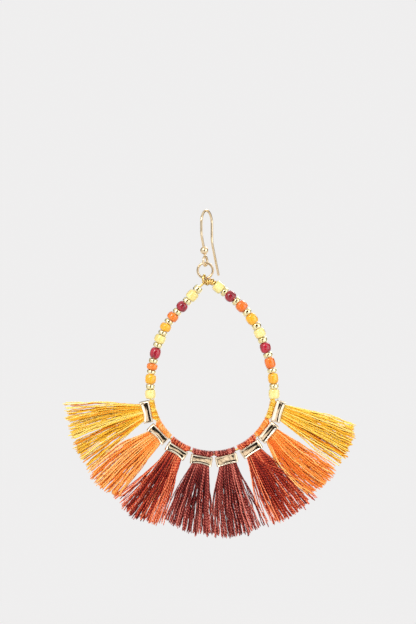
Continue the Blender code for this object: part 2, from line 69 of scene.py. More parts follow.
# Lights: place, width and height, power, colour, and whether polish mirrors them
LIGHT_AIM = (0.0, 0.0, -60.0)
LIGHTS = (
    ("key", (-340.0, -660.0, 400.0), (420.0, 420.0), 4.2, (1.0, 0.985, 0.96), True),
    ("front", (50.0, -900.0, 60.0), (600.0, 600.0), 3.1, (1.0, 1.0, 1.0), False),
    ("fill", (620.0, -400.0, 100.0), (500.0, 700.0), 1.8, (1.0, 1.0, 1.0), True),
    ("back_fill", (400.0, 850.0, 550.0), (500.0, 500.0), 5.5, (1.0, 0.97, 0.92), True),
)

# Floor, a disc that fades into the backdrop. The fade is in metres.
FLOOR_LEVEL = -220.0
FLOOR_RINGS = (1000.0, 9000.0)
FLOOR_SIDES = 96
FLOOR_FADE = (0.2, 0.6)
FLOOR_TONES = ((0.57, 0.565, 0.565, 1.0), (0.60, 0.595, 0.595, 1.0))
BACKDROP = (0.865, 0.858, 0.858, 1.0)

# The named sizes that the solids were drawn with
RING_GAP = 0.12
HOOP_GAP = 0.20
BEAD_GAP = 0.05
HOOK_WIRE = 0.80
HOOK_TURN = 25.0
ARCH_RADIUS = 4.10
HOOK_BALL = 2.60
HOOK_EYE_RADIUS = 1.48
HOOK_FRONT = ((0.0, ARCH_RADIUS, -90.0), (2.8, 5.0, -23.5), (4.7, 0.0, 0.0))
HOOK_NECK = ((0.3, 3.0, 14.0), (1.1, 0.0, 0.0))
HOOK_BACK = ((0.0, ARCH_RADIUS, 90.0), (4.3, 8.0, -26.0), (10.1, 0.0, 0.0))
RING_WIRE = 0.75
RING_RADIUS = 2.50
HOOP_WIRE = 0.70
HOOP_RADIUS = 20.46
HOOP_CENTRE_BELOW = 1.765
HOOP_CENTRE_ASIDE = 0.129
HOOP_EYE_RADIUS = 1.30
HOOP_EYE_ASIDE = -0.35
LEFT_ROUTE = (
    (-0.181, 1.724), (-0.237, 1.661), (-0.406, 1.471), (-0.568, 1.298), (-0.702, 1.137),
    (-0.798, 0.960), (-0.882, 0.758), (-0.950, 0.505), (-0.989, 0.266), (-1.000, 0.000),
)
RIGHT_ROUTE = (
    (-0.070, 1.779), (-0.020, 1.779), (0.020, 1.765), (0.056, 1.737), (0.150, 1.659),
    (0.206, 1.618), (0.392, 1.471), (0.561, 1.294), (0.715, 1.068), (0.815, 0.839),
    (0.900, 0.597), (0.965, 0.350), (0.994, 0.137), (1.000, 0.000),
)
ROUTE_STEP = 0.2
ROUTE_PAST = 60
BEAD_DIAMETER = 3.75
BORE = 0.55
LEFT_FIRST = 1.85
RIGHT_FIRST = 3.65
STRING_PAST = 2.30
LEFT_BEADS = (
    ("gold", 0.61, 0.80), ("pale", 0.85, 0.99), ("gold", 0.48, 0.80), ("red", 0.84, 1.00),
    ("gold", 0.45, 0.80), ("orange", 0.70, 1.00), ("gold", 0.42, 0.80), ("amber", 0.71, 1.00),
    ("gold", 0.42, 0.80), ("pale", 0.73, 1.00), ("gold", 0.45, 0.80), ("red", 0.99, 0.95),
    ("gold", 0.45, 0.80), ("orange", 0.57, 0.97), ("gold", 0.38, 0.80), ("amber", 0.88, 0.97),
    ("gold", 0.48, 0.80), ("pale", 0.83, 0.95),
)
RIGHT_BEADS = (
    ("pale", 0.88, 1.00), ("gold", 0.45, 0.84), ("red", 0.87, 1.00), ("gold", 0.45, 0.84),
    ("orange", 0.88, 1.02), ("gold", 0.50, 0.84), ("amber", 0.98, 1.01), ("gold", 0.54, 0.84),
    ("pale", 0.80, 1.01), ("gold", 0.51, 0.84), ("red", 0.93, 0.97), ("gold", 0.46, 0.84),
    ("orange", 0.96, 0.93), ("gold", 0.43, 0.84), ("amber", 0.95, 0.94), ("gold", 0.47, 0.84),
    ("pale", 0.87, 0.97),
)
CUFF_WIDTH = 6.70
CUFF_DEPTH = 3.50
CUFF_HEIGHT = 3.10
CUFF_CORNER = 0.85
CUFF_DROP = 2.20
FRINGE_BULGE = 1.5
HEAD_SPREAD = 3.65
HEAD_GAP = -0.10
NECK_WIDTH = 5.18
NECK_INSET = 0.1
FRINGE_DEPTH = 4.6
MOUTH_WIDTH = 6.05
# Rows of colour, seat angle from straight down, and cuff lean from the seat
TASSELS = (
    ("yellow", -73.2, -4.5),
    ("orange", -53.4, 8.4),
    ("rust", -31.5, -0.4),
    ("maroon", -9.0, -1.2),
    ("maroon", 11.9, 2.1),
    ("rust", 34.7, -1.4),
    ("orange", 55.2, -5.4),
    ("yellow", 74.3, -1.9),
)

# How the wires are dressed: the eye's turn as it shows, the ball's solder, the ring's cut and the coil
EYE_SEEN_TURN = 72.0
SOLDER_SWELL = 0.05
SOLDER_PAST = 0.25
SOLDER_THIN = 0.98
RING_CUT = -27.0
RING_CUT_HALF = 0.035
RING_CUT_THIN = 0.9
END_ASIDE, END_UP = 0.06, 0.05
COIL_START = 0.90
COIL_LENGTH = 2.55
COIL_TURNS = 3.7
COIL_FIRST = 150.0
COIL_LIFT = 0.22
# The coil's first two points, from the bottom of the eye
COIL_LEAVES = ((-0.30, -0.05, 0.10), (-0.05, -0.45, -0.05))
# Radius of the coil's turns as a share of the wire, how much it varies, and how unevenly the turns lie
COIL_WIDE, COIL_UNEVEN, COIL_SLIP = 1.06, 0.05, 0.03
# How fast both of these change along the coil, and where the first of them begins
COIL_UNEVEN_PACE, COIL_SLIP_PACE, COIL_UNEVEN_FROM = 0.37, 0.61, 1.0

# The fringes as the photograph shows them. Its pixels lie PIXEL apart, and the arch's top is at PHOTO_ORIGIN.
PIXEL = 0.33
PHOTO_ORIGIN = (206.6, 211.7)
# Rows of middle and tip of the left edge, then of the right edge, in pixels of the photograph
FAN_EDGES = (
    ((103, 403), (67, 405), (118, 443), (88, 469)),
    ((120, 445), (89, 470), (140, 470), (120, 496)),
    ((146, 476), (120, 501), (174, 483), (161, 524)),
    ((178, 488), (165, 518), (210, 501), (213, 535)),
    ((213, 501), (212, 535), (249, 495), (262, 526)),
    ((257, 491), (270, 522), (288, 474), (312, 499)),
    ((282, 471), (306, 494), (307, 449), (335, 468)),
    ((311, 444), (339, 463), (322, 414), (354, 425)),
)
# Tone added at the left edge, the middle, the right edge and the tips, on a scale from 0 to 1
FAN_TONES = (
    (0.14, 0.08, 0.00, 0.08),
    (0.20, 0.12, 0.10, 0.02),
    (0.12, -0.18, 0.16, 0.14),
    (-0.04, -0.12, 0.02, 0.18),
    (0.02, 0.04, 0.08, 0.10),
    (0.12, -0.10, -0.06, 0.18),
    (0.08, 0.02, 0.08, 0.06),
    (0.00, 0.02, 0.08, 0.02),
)
# How many loose strands end left of the fringe, and how far out in tenths of its half width, then right of it
FAN_LOOSE = (
    (4, 0.4, 0, 0.0),
    (1, 0.6, 0, 0.0),
    (6, 3.0, 0, 0.0),
    (1, 0.8, 2, 0.6),
    (1, 0.5, 4, 2.2),
    (3, 2.4, 3, 2.0),
    (2, 1.5, 2, 1.0),
    (2, 1.2, 1, 0.6),
)
# Tone that a loose strand has over its neighbours
LOOSE_TONE = {"yellow": 0.32, "orange": 0.14, "rust": -0.12, "maroon": 0.0}

# How round each kind of bead is, down its side and over its ends: 1 is a ball's and 0 a tube's
BEAD_ROUND = {
    "gold": (0.42, 0.80),
    "pale": (0.34, 0.80),
    "red": (0.74, 1.0),
    "orange": (0.48, 0.86),
    "amber": (0.58, 0.92),
}
# How far a bead tilts, how oval and how lobed it is, and how slanted its ends are
BEAD_TILT, BEAD_OVAL, BEAD_LOBED, BEAD_SLANT = 0.025, 0.014, 0.008, 0.04
BEAD_SQUEEZE = 0.99

# Fineness of the dressed pieces
WIRE_SIDES = 20
HOOP_SIDES = 14
COIL_SIDES = 12
BALL_SIDES, BALL_LEVELS = 36, 27
BEND_TURN = 3.0
RUN_STEP = 0.6
ARM_SPACING = 0.7
ARC_STEPS = 120
EYE_STEPS = 72
COIL_STEPS = 150
RING_STEPS = 96
BEAD_SIDES, BEAD_LEVELS, BORE_LEVELS = 32, 19, 4
CUFF_FLAT_STEPS, CUFF_NARROW_STEPS, CUFF_CORNER_STEPS = 18, 5, 7
CUFF_LIP_STEPS, CUFF_BORE_STEPS = 6, 9
# Rows of the cuff's face, on a scale from -1 to 1: from, to and how many
CUFF_ROWS = ((-1.0, -0.4, 9), (-0.4, 0.5, 7), (0.5, 1.0, 10))

# Cuff: its lip, wall, side bulge, dished face, and how wide its rims are
CUFF_LIP = 0.16
CUFF_WALL = 0.30
CUFF_BULGE = 0.28
CUFF_BULGE_FALL = 0.15
CUFF_DISH = 0.34
CUFF_PRESS = 0.06
CUFF_RIM_WIRE = 0.19
CUFF_RIM_FRINGE = 0.25
CUFF_CORNER_FALL = 0.6
CUFF_INNER_CORNER = 0.3
# Shares of the half width between which the dish runs out, and of the half height for the bow
CUFF_DISH_ENDS = (0.86, 0.97)
CUFF_BOW_ENDS = (0.15, -1.0)
# How far each fringe-side rim bows towards the wire
CUFF_BOW = (0.62, 0.70, 0.66, 0.60, 0.15, 0.20, 0.25, 0.30)
# Where each cuff's dished face looks straight at the front card, across and along it, and how much it is
# rounded across and along. They hang a little askew.
CUFF_FACE = (
    (0.2, 0.05, 0.016, 0.066),
    (0.0, -0.05, 0.015, 0.060),
    (0.1, 0.40, 0.016, 0.110),
    (0.9, 0.26, 0.015, 0.040),
    (0.9, -0.10, 0.017, -0.042),
    (0.1, 0.02, 0.014, 0.050),
    (0.1, 0.00, 0.015, 0.105),
    (0.5, -0.09, 0.017, 0.115),
)

# Threads: how many each tassel has, half their thickness, their layers, and how they are drawn
TASSEL_SEED = 100
THREADS = (66, 60, 60, 60, 60, 60, 60, 58)
HEAD_THREAD = 0.14
FRINGE_THREAD = 0.175
HEAD_LAYERS = 3
LAYER_PITCH = 0.34
NECK_PITCH = 0.25
THREAD_SIDES = 5
THREAD_STEP = 0.48
OVER_STEP = 18.0
TIP_THIN = 0.55
PLY_PITCH = 2.3
PLY_SWAY = 0.035
PLY_START = 20.0
# Rows of a head, by their distance below the wire. Between the next distances its threads draw in to the
# neck, close up to the fringe's middle layer, and part in the mouth.
HEAD_STEPS = np.array((0.0, 0.16, 0.32, 0.5, 0.7, 0.95, 1.5, 2.3, 3.1))
HEAD_PINCH = (0.12, 0.85)
HEAD_FOLD = (0.05, 0.95)
MOUTH_OPENS = (2.2, 3.9)
# How far inside the hoop neighbouring heads meet
HEADS_MEET = 1.0
# Half the width that the threads fill in the neck and mouth
NECK_HALF = NECK_WIDTH / 2 - HEAD_THREAD
MOUTH_HALF = MOUTH_WIDTH / 2 - HEAD_THREAD
NECK_SHARE = 0.97
SCATTER = 0.012
# Threads that lie on top of their fringe, at ODD_DEPTH: tassel, thread, place of the end, and tone
ODD_DEPTH = 1.25
ODD_THREADS = (
    (6, 13, -0.58, 0.80),
    (6, 24, 0.72, 0.50),
    (6, 28, 1.00, 0.46),
    (6, 31, 1.20, 0.52),
    (3, 40, 0.55, 0.66),
    (7, 9, -0.96, 0.60),
)
# Clumps that the strands of a fringe draw together in: how many, how much they differ in place, depth,
# length and tone, how far off a strand finds its clump, and how strongly it is drawn to it
CLUMPS = 17
CLUMP_ASIDE, CLUMP_DEEP, CLUMP_LONG, CLUMP_TONE = 0.03, 0.55, 0.012, 0.07
CLUMP_REACH = 0.35
CLUMP_PULL = (0.2, 0.55)
CLUMP_DEPTH_SHARE = 0.6
# Where in its layer a leg lies
LAYER_DEPTH = (0.1, 1.0)
# Shares of the fringe's length over which these grow
PULL_GROWS, SPREAD_GROWS, SWAY_GROWS, THREAD_GROWS = (0.1, 1.0), (0.0, 0.6), (0.02, 0.5), (0.0, 0.2)
EDGE_TONE_GROWS, TIP_TONE_GROWS, MOUTH_TONE_ENDS = (0.0, 0.25), (0.45, 1.0), (0.0, 0.12)
# A strand that ends outside the fringe by this share is a loose one
LOOSE_FROM = 1.02
# Spread of the strands' lengths, and the share of them that were cut short, and by how much
LENGTH_SPREAD = 0.019
SHORT_SHARE, SHORT_BY = 0.08, (0.03, 0.10)
# Strands that stray: their share, how far they go, and how far the others go
STRAY_SHARE, STRAY_FAR, STRAY_NEAR, STRAY_POWER = 0.05, 1.1, 0.12, 2.4
# Slow and quick waves of a strand: their lengths and their heights aside, and the height in depth
SLOW_WAVE, QUICK_WAVE = (9, 16), (3.5, 6.5)
SLOW_SWAY, QUICK_SWAY, DEEP_SWAY = (0.08, 0.24), (0.02, 0.07), (0.04, 0.18)
# How fast a fringe gets deeper below the cuff, its depth at its edges, and how its edges leave the cuff
OPEN_POWER = 2.8
EDGE_THIN = 0.42
EDGE_LEAVING = 0.08
# Where the strands end: a little closer in the middle than at the edges, scattered, and within a limit
EVEN_SHARE, END_SCATTER, END_LIMIT = 0.84, 0.05, 1.01
# Tones: of a thread and its spread, of a leg, over the wire, by the mouth and in the head, then the painted
# shade in the head's crease below the wire
TONE_MIDDLE, TONE_SPREAD, TONE_LEG = 0.45, 0.19, 0.05
TONE_OVER, TONE_MOUTH, TONE_HEAD, CREASE_SHADE = 0.16, 0.16, 0.20, 0.30
# Where the painted crease shade lies below the wire, and how wide it is
CREASE_SHADE_AT, CREASE_SHADE_WIDE = 0.62, 0.30
TONE_LEAST, TONE_MOST = 0.02, 0.98

# Plate: colour, deeper colour, least and most roughness, depth of the dents, and tint at grazing angles
GOLD = {
    "hook_gold": ((0.88, 0.73, 0.50, 1), (0.76, 0.59, 0.37, 1), 0.07, 0.13, 0.06, (0.80, 0.66, 0.48, 1)),
    "ring_gold": ((0.82, 0.65, 0.42, 1), (0.66, 0.48, 0.28, 1), 0.07, 0.13, 0.06, (0.40, 0.28, 0.18, 1)),
    "hoop_gold": ((0.92, 0.68, 0.28, 1), (0.84, 0.58, 0.20, 1), 0.09, 0.16, 0.06, (0.02, 0.01, 0.00, 1)),
    "cuff_gold": ((0.98, 0.87, 0.69, 1), (0.94, 0.80, 0.59, 1), 0.06, 0.11, 0.03, (0.30, 0.16, 0.08, 1)),
    "bead_gold": ((0.93, 0.84, 0.52, 1), (0.85, 0.73, 0.38, 1), 0.11, 0.17, 0.04, (1.00, 1.00, 1.00, 1)),
}
# Glass: deep, middle and light colour on a scale to 255, roughness, and how much light scatters inside
GLASS = {
    "bead_red": ((104, 2, 20), (146, 8, 34), (178, 20, 50), 0.12, 0.04),
    "bead_orange": ((198, 86, 12), (212, 103, 18), (224, 124, 32), 0.15, 0.05),
    "bead_amber": ((214, 146, 18), (224, 162, 28), (232, 180, 50), 0.14, 0.06),
    "bead_pale": ((208, 186, 108), (220, 201, 126), (230, 214, 150), 0.20, 0.16),
}
# Thread: strength of the plies' painted highlight and shade, which also sets the strength of their relief,
# then rows of tone and its colour on a scale to 255
THREAD = {
    "thread_yellow": (
        0.12, (0.0, (210, 116, 12)), (0.3, (220, 148, 24)), (0.6, (230, 182, 48)), (1.0, (242, 220, 128)),
    ),
    "thread_orange": (
        0.14, (0.0, (210, 82, 18)), (0.3, (228, 115, 34)), (0.6, (238, 153, 66)), (1.0, (248, 196, 128)),
    ),
    "thread_rust": (
        0.18, (0.0, (62, 4, 4)), (0.3, (120, 18, 10)), (0.6, (188, 60, 34)), (0.85, (244, 140, 92)),
    ),
    "thread_maroon": (
        0.19, (0.0, (42, 2, 4)), (0.3, (88, 12, 12)), (0.55, (136, 40, 34)), (0.85, (216, 122, 106)),
    ),
}
# Distance along a strand in which its plies wind round once, how much its tone drifts, and its relief
SHADE_PITCH = 0.95
FLECK_SPREAD = 0.34
TWIST_RELIEF = 4.5


def linear(colour):
    """Linear colour of a screen colour given from 0 to 255."""
    found = []
    for value in colour:
        share = value / 255
        found.append(share / 12.92 if share <= 0.04045 else ((share + 0.055) / 1.055) ** 2.4)
    return (*found, 1.0)


def unit(rows):
    """Vectors of length one that point the same ways."""
    return rows / np.linalg.norm(rows, axis=-1, keepdims=True)


def smoothstep(low, high, value):
    """A soft ramp from 0 at low to 1 at high."""
    share = np.clip((value - low) / (high - low), 0, 1)
    return share * share * (3 - 2 * share)


def distances(path):
    """Distance along a path at each of its points."""
    return np.concatenate(([0.0], np.cumsum(np.linalg.norm(np.diff(path, axis=0), axis=1))))


def turned(angle, first, second):
    """Directions at angles from the first of two directions towards the second."""
    return np.cos(angle)[..., None] * first + np.sin(angle)[..., None] * second


def outward(angle):
    """Direction in the hoop's plane at an angle from straight down, positive to the right."""
    turn = math.radians(angle)
    return np.array((math.sin(turn), 0.0, -math.cos(turn)))


def sideways(angle):
    """Direction across the one that outward gives."""
    return outward(angle + 90)


def linked(name, data):
    """A new object of the scene."""
    made = bpy.data.objects.new(name, data)
    bpy.context.scene.collection.objects.link(made)
    return made


def new_mesh(name, places, faces, material):
    """A smooth mesh of places in millimetres."""
    mesh = bpy.data.meshes.new(name)
    mesh.from_pydata((np.array(places) * MM).tolist(), [], faces)
    mesh.shade_smooth()
    mesh.materials.append(material)
    return mesh


class Shape:
    """Gathers the vertices, faces, corner coordinates and tones of one piece."""

    def __init__(self):
        self.rows, self.faces, self.corners, self.tones, self.count = [], [], [], [], 0

    def grid(self, points, wrap=False, lengths=None, tone=0.5, caps=False):
        """Faces over rows of points that go round, with flat caps on open ends if they are asked for."""
        n, m = points.shape[:2]
        if lengths is None:
            lengths = np.arange(n) / n
        spans = n if wrap else n - 1
        j, k = np.meshgrid(np.arange(spans), np.arange(m), indexing="ij")
        j, k = j.ravel(), k.ravel()
        after, right = (j + 1) % n, (k + 1) % m
        quads = np.stack((j * m + k, j * m + right, after * m + right, after * m + k), 1) + self.count
        u = np.asarray(lengths, float)
        low, high = u[j], u[after]
        corners = np.stack((low, k / m, low, (k + 1) / m, high, (k + 1) / m, high, k / m), 1)
        self.faces += quads.tolist()
        self.corners.append(corners.reshape(-1))
        if caps:
            first = [self.count + i for i in range(m)][::-1]
            last = [self.count + (n - 1) * m + i for i in range(m)]
            self.faces += [first, last]
            self.corners.append(np.tile((u[0], 0.0), m))
            self.corners.append(np.tile((u[-1], 0.0), m))
        self.rows.append(points.reshape(-1, 3))
        self.tones.append(np.broadcast_to(np.asarray(tone, float).reshape(-1, 1), (n, m)).ravel())
        self.count += n * m

    def wire(self, path, radius, sides, across=None, closed=False):
        """A round wire along a path: a closed loop, or a run with flat caps."""
        points, lengths = rings(path, radius, sides, across, closed)
        if closed:
            self.grid(points, wrap=True)
        else:
            self.grid(points, lengths=lengths, caps=True)

    def piece(self, name, slot, body, *nodes):
        """Makes the object, sets what it rides on, and hides the solids that it takes the place of."""
        mesh = new_mesh(name, np.concatenate(self.rows), self.faces, MATERIALS[slot])
        layer = mesh.uv_layers.new(name="along")
        layer.data.foreach_set("uv", np.concatenate(self.corners).astype(np.float32))
        tone = mesh.attributes.new("tone", "FLOAT", "POINT")
        tone.data.foreach_set("value", np.concatenate(self.tones).astype(np.float32))
        made = linked(name, mesh)
        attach(made, body)
        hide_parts(*nodes)


def rings(path, radius, sides, across=None, closed=False):
    """Rows of points round a path, and the distance along it at each row."""
    path = np.asarray(path, float)
    if closed:
        tangent = unit(np.roll(path, -1, 0) - np.roll(path, 1, 0))
    else:
        tangent = unit(np.gradient(path, axis=0))
    if across is None:
        normal = np.zeros_like(path)
        last = np.array((0.0, 1.0, 0.0))
        for i, way in enumerate(tangent):
            last = last - way * last.dot(way)
            last = last / np.linalg.norm(last)
            normal[i] = last
    else:
        aside = np.asarray(across, float) * np.ones_like(path)
        normal = unit(aside - tangent * np.sum(aside * tangent, 1, keepdims=True))
    other = np.cross(tangent, normal)
    angle = 2 * math.pi * np.arange(sides)[None, :] / sides
    wide = np.broadcast_to(np.asarray(radius, float).reshape(-1, 1, 1), (len(path), 1, 1))
    return path[:, None] + wide * turned(angle, normal[:, None], other[:, None]), distances(path)


def rounded_end(path, radius, steps=5, least=0.06):
    """Path and radii with a round end added after the last point."""
    way = path[-1] - path[-2]
    way = way / np.linalg.norm(way)
    angles = np.linspace(0, math.pi / 2, steps + 1)[1:]
    added = path[-1] + np.sin(angles)[:, None] * radius * way
    wide = np.concatenate((np.full(len(path), radius), np.maximum(np.cos(angles), least) * radius))
    return np.concatenate((path, added)), wide


def walk(start, heading, legs):
    """Flat points of a wire bent by rows of straight run, bend radius and turn, and its last heading."""
    place = np.array(start, float)
    angle = math.radians(heading)
    found = [place.copy()]
    for straight, radius, turn in legs:
        count = max(1, round(straight / RUN_STEP)) if straight else 0
        for _ in range(count):
            place = place + np.array((math.cos(angle), math.sin(angle))) * straight / count
            found.append(place.copy())
        steps = max(1, round(abs(turn) / BEND_TURN)) if turn else 0
        for _ in range(steps):
            step = math.radians(turn) / steps
            chord = 2 * radius * math.sin(abs(step) / 2)
            place = place + np.array((math.cos(angle + step / 2), math.sin(angle + step / 2))) * chord
            angle += step
            found.append(place.copy())
    return found, math.degrees(angle)


FORWARD = np.array((-math.sin(math.radians(HOOK_TURN)), -math.cos(math.radians(HOOK_TURN)), 0.0))
UP = np.array((0.0, 0.0, 1.0))
Y = np.array((0.0, 1.0, 0.0))


def on_hook(flat):
    """A flat point of the hook in the part's frame."""
    return FORWARD * flat[0] + UP * flat[1]


def hook_lines():
    """Flat points of the hook's back, front and neck, and of its eye. The ball is where the last two meet."""
    top = (0.0, HOOK_WIRE / 2)
    front, heading = walk(top, 0.0, HOOK_FRONT)
    neck, heading = walk(front[-1], heading, HOOK_NECK)
    back, _ = walk(top, 180.0, HOOK_BACK)
    angle = math.radians(heading)
    eye = neck[-1] + np.array((math.cos(angle), math.sin(angle))) * HOOK_EYE_RADIUS
    return back, front, neck, eye


HOOK_EYE = on_hook(hook_lines()[3])
RING_TOP = HOOK_EYE[2] - HOOK_EYE_RADIUS + HOOK_WIRE / 2 + RING_GAP + RING_WIRE / 2
RING_CENTRE = np.array((HOOK_EYE[0], HOOK_EYE[1], RING_TOP - RING_RADIUS))
EYE_DROP = math.sqrt(RING_RADIUS**2 - HOOP_EYE_ASIDE**2)
EYE_TOP = RING_CENTRE[2] - EYE_DROP + RING_WIRE / 2 + HOOP_GAP + HOOP_WIRE / 2
EYE_CENTRE = np.array((RING_CENTRE[0] + HOOP_EYE_ASIDE, RING_CENTRE[1], EYE_TOP - HOOP_EYE_RADIUS))
EYE_BOTTOM = EYE_CENTRE - UP * HOOP_EYE_RADIUS
HOOP_CENTRE = EYE_BOTTOM + np.array((HOOP_CENTRE_ASIDE, 0.0, -HOOP_CENTRE_BELOW)) * HOOP_RADIUS


def circle(centre, radius, across, first, last, steps):
    """Points of an upright circle that holds the level direction across."""
    angles = np.radians(np.linspace(first, last, steps))
    return centre + radius * turned(angles, np.asarray(across), UP)


def smoothed(points, step):
    """A Catmull-Rom line through points, sampled about every step."""
    ends = [2 * points[0] - points[1]] + list(points) + [2 * points[-1] - points[-2]]
    found = []
    for a, b, c, d in zip(ends, ends[1:], ends[2:], ends[3:]):
        count = max(1, round(float(np.linalg.norm(c - b)) / step))
        for k in range(count):
            t = k / count
            square = (2 * a - 5 * b + 4 * c - d) * t**2
            cube = (3 * b - a - 3 * c + d) * t**3
            found.append(0.5 * (2 * b + (c - a) * t + square + cube))
    return found + [points[-1]]


def arm_line(route, side):
    """Closely spaced points of one arm, from the eye's bottom down and a little way round the bottom arc."""
    given = [EYE_BOTTOM] + [HOOP_CENTRE + np.array((x, 0.0, z)) * HOOP_RADIUS for x, z in route]
    line = smoothed(given, ROUTE_STEP)
    for i in range(1, ROUTE_PAST):
        angle = i * ROUTE_STEP / HOOP_RADIUS
        line.append(HOOP_CENTRE + np.array((side * math.cos(angle), 0, -math.sin(angle))) * HOOP_RADIUS)
    return np.array(line)


def along(line, distance):
    """Points at distances along a line of points."""
    steps = distances(line)
    return np.stack([np.interp(distance, steps, line[:, i]) for i in range(3)], -1)


def arm_length(line):
    """Distance along an arm's line down to the level of the hoop's centre."""
    total = 0.0
    for a, b in zip(line, line[1:]):
        if b[2] <= HOOP_CENTRE[2] + 1e-6:
            break
        total += float(np.linalg.norm(b - a))
    return total


def nodes_of(name):
    """A new material, a maker of its linked nodes, and a setter of its shader's inputs."""
    made = bpy.data.materials.new(name)
    made.use_nodes = True
    tree = made.node_tree
    shader = tree.nodes["Principled BSDF"]

    def node(kind, inputs=(), **settings):
        new = tree.nodes.new(kind)
        for key, value in settings.items():
            setattr(new, key, value)
        for key, value in dict(inputs).items():
            if isinstance(value, bpy.types.NodeSocket):
                tree.links.new(value, new.inputs[key])
            else:
                new.inputs[key].default_value = value
        return new

    def drive(key, value):
        if isinstance(value, bpy.types.NodeSocket):
            tree.links.new(value, shader.inputs[key])
        else:
            shader.inputs[key].default_value = value

    return made, node, drive


def ramp(node, factor, stops):
    """A colour ramp with its stops given as place and colour."""
    made = node("ShaderNodeValToRGB", {"Fac": factor})
    elements = made.color_ramp.elements
    while len(elements) < len(stops):
        elements.new(0.5)
    for element, (place, colour) in zip(elements, stops):
        element.position = place
        element.color = colour
    return made.outputs["Color"]


def noise(node, place, scale, detail):
    """Strength of a noise at a place."""
    return node("ShaderNodeTexNoise", {"Vector": place, "Scale": scale, "Detail": detail}).outputs["Fac"]


def maths(node, operation, *values):
    """Result of a node that calculates."""
    return node("ShaderNodeMath", enumerate(values), operation=operation).outputs[0]


def bump(node, height, strength, distance, **more):
    """Surface direction of a relief."""
    inputs = {"Height": height, "Strength": strength, "Distance": distance, **more}
    return node("ShaderNodeBump", inputs).outputs["Normal"]


def gold(name, colour, deep, low, high, dents, edge):
    """Polished plate: colour and gloss drift a little, with fine polishing marks and shallow dents."""
    made, node, drive = nodes_of(name)
    place = node("ShaderNodeTexCoord").outputs["Object"]
    broad = noise(node, place, scale=420.0, detail=3.0)
    fine = noise(node, place, scale=5200.0, detail=4.0)
    drive("Base Color", ramp(node, broad, ((0.35, deep), (0.62, colour))))
    spread = {"Value": fine, "From Min": 0.3, "From Max": 0.7, "To Min": low, "To Max": high}
    drive("Roughness", node("ShaderNodeMapRange", spread).outputs["Result"])
    drive("Metallic", 1.0)
    drive("Specular Tint", edge)
    dented = bump(node, broad, dents, distance=0.0002)
    drive("Normal", bump(node, fine, strength=0.02, distance=0.00001, Normal=dented))
    return made


def glass(name, deep, colour, light, rough, through):
    """Seed bead glass: streaked colour under a clear gloss."""
    made, node, drive = nodes_of(name)
    place = node("ShaderNodeTexCoord").outputs["Object"]
    stretch = node("ShaderNodeMapping", {"Vector": place, "Scale": (1.0, 1.0, 0.45)}).outputs["Vector"]
    broad = noise(node, stretch, scale=620.0, detail=4.0)
    fine = noise(node, place, scale=3000.0, detail=2.0)
    drive("Base Color", ramp(node, broad, ((0.30, deep), (0.50, colour), (0.74, light))))
    drive("Roughness", rough)
    drive("Coat Weight", 0.5)
    drive("Coat Roughness", 0.08)
    drive("IOR", 1.52)
    drive("Subsurface Weight", through)
    drive("Subsurface Radius", (0.9, 0.5, 0.3))
    drive("Subsurface Scale", 0.0008)
    drive("Normal", bump(node, fine, strength=0.04, distance=0.00002))
    return made


def thread(name, ply_shade_and_relief, stops):
    """Twisted thread: each strand has its own tone, and two plies wind round it, as a relief and as painted
    highlight and shade in the colour.
    """
    made, node, drive = nodes_of(name)
    tone = node("ShaderNodeAttribute", attribute_name="tone").outputs["Fac"]
    corners = node("ShaderNodeUVMap", uv_map="along").outputs["UV"]
    parts = node("ShaderNodeSeparateXYZ", {"Vector": corners})
    place = node("ShaderNodeTexCoord").outputs["Object"]
    fleck = noise(node, place, scale=1500.0, detail=3.0)
    drift = maths(node, "MULTIPLY_ADD", fleck, FLECK_SPREAD, -FLECK_SPREAD / 2)
    wind = maths(node, "MULTIPLY", parts.outputs["X"], 2 * math.pi / SHADE_PITCH)
    turn = maths(node, "MULTIPLY_ADD", parts.outputs["Y"], 2 * math.pi, wind)
    ply = maths(node, "SINE", turn)
    # Painted highlight and shade: the colour goes lighter and darker as the plies wind round, on top of the
    # tone's drift
    ply_shade_and_fleck = maths(node, "MULTIPLY_ADD", ply, ply_shade_and_relief, drift)
    drive("Base Color", ramp(node, maths(node, "ADD", tone, ply_shade_and_fleck), stops))
    drive("Roughness", 0.52)
    drive("Sheen Weight", 0.03)
    drive("Sheen Roughness", 0.45)
    drive("Specular IOR Level", 0.18)
    drive("Normal", bump(node, ply, strength=TWIST_RELIEF * ply_shade_and_relief, distance=0.00006))
    return made


def build_materials():
    """One material for each slot."""
    made = {slot: gold(slot, *look) for slot, look in GOLD.items()}
    for slot, (*colours, rough, through) in GLASS.items():
        made[slot] = glass(slot, *map(linear, colours), rough, through)
    for slot, (ply_shade_and_relief, *stops) in THREAD.items():
        made[slot] = thread(slot, ply_shade_and_relief, [(tone, linear(colour)) for tone, colour in stops])
    return made


MATERIALS = build_materials()


def build_hook():
    """Hook wire with its ball, its soldered neck and its eye."""
    back, front, neck, eye = hook_lines()
    across = np.cross(FORWARD, UP)
    wire = HOOK_WIRE / 2
    shape = Shape()
    line = np.array([on_hook(place) for place in back[::-1] + front[1:] + neck[1:]])
    shape.wire(*rounded_end(line[::-1], wire), WIRE_SIDES, across)
    loop = circle(on_hook(eye), HOOK_EYE_RADIUS, FORWARD, 0, 360, RING_STEPS + 1)[:-1]
    shape.wire(loop, wire, WIRE_SIDES, across, closed=True)
    # The ball, and the solder that runs from it on to the wire
    centre = on_hook(front[-1])
    way = unit(centre - on_hook(front[-2]))
    radius = HOOK_BALL / 2
    levels = np.linspace(-1, 1, BALL_LEVELS)
    wide = np.sqrt(np.maximum(1 - levels**2, 0)) * radius
    wide = np.maximum(wide, wire * (1 + SOLDER_SWELL * (1 - np.abs(levels))))
    wide = np.concatenate(([wire * SOLDER_THIN], wide, [wire * SOLDER_THIN]))
    places = np.concatenate(([-radius - SOLDER_PAST], levels * radius, [radius + SOLDER_PAST]))
    shape.wire(centre + way * places[:, None], wide, BALL_SIDES, across)
    shape.piece("hook_wire", "hook_gold", "hook", "ear_hook")


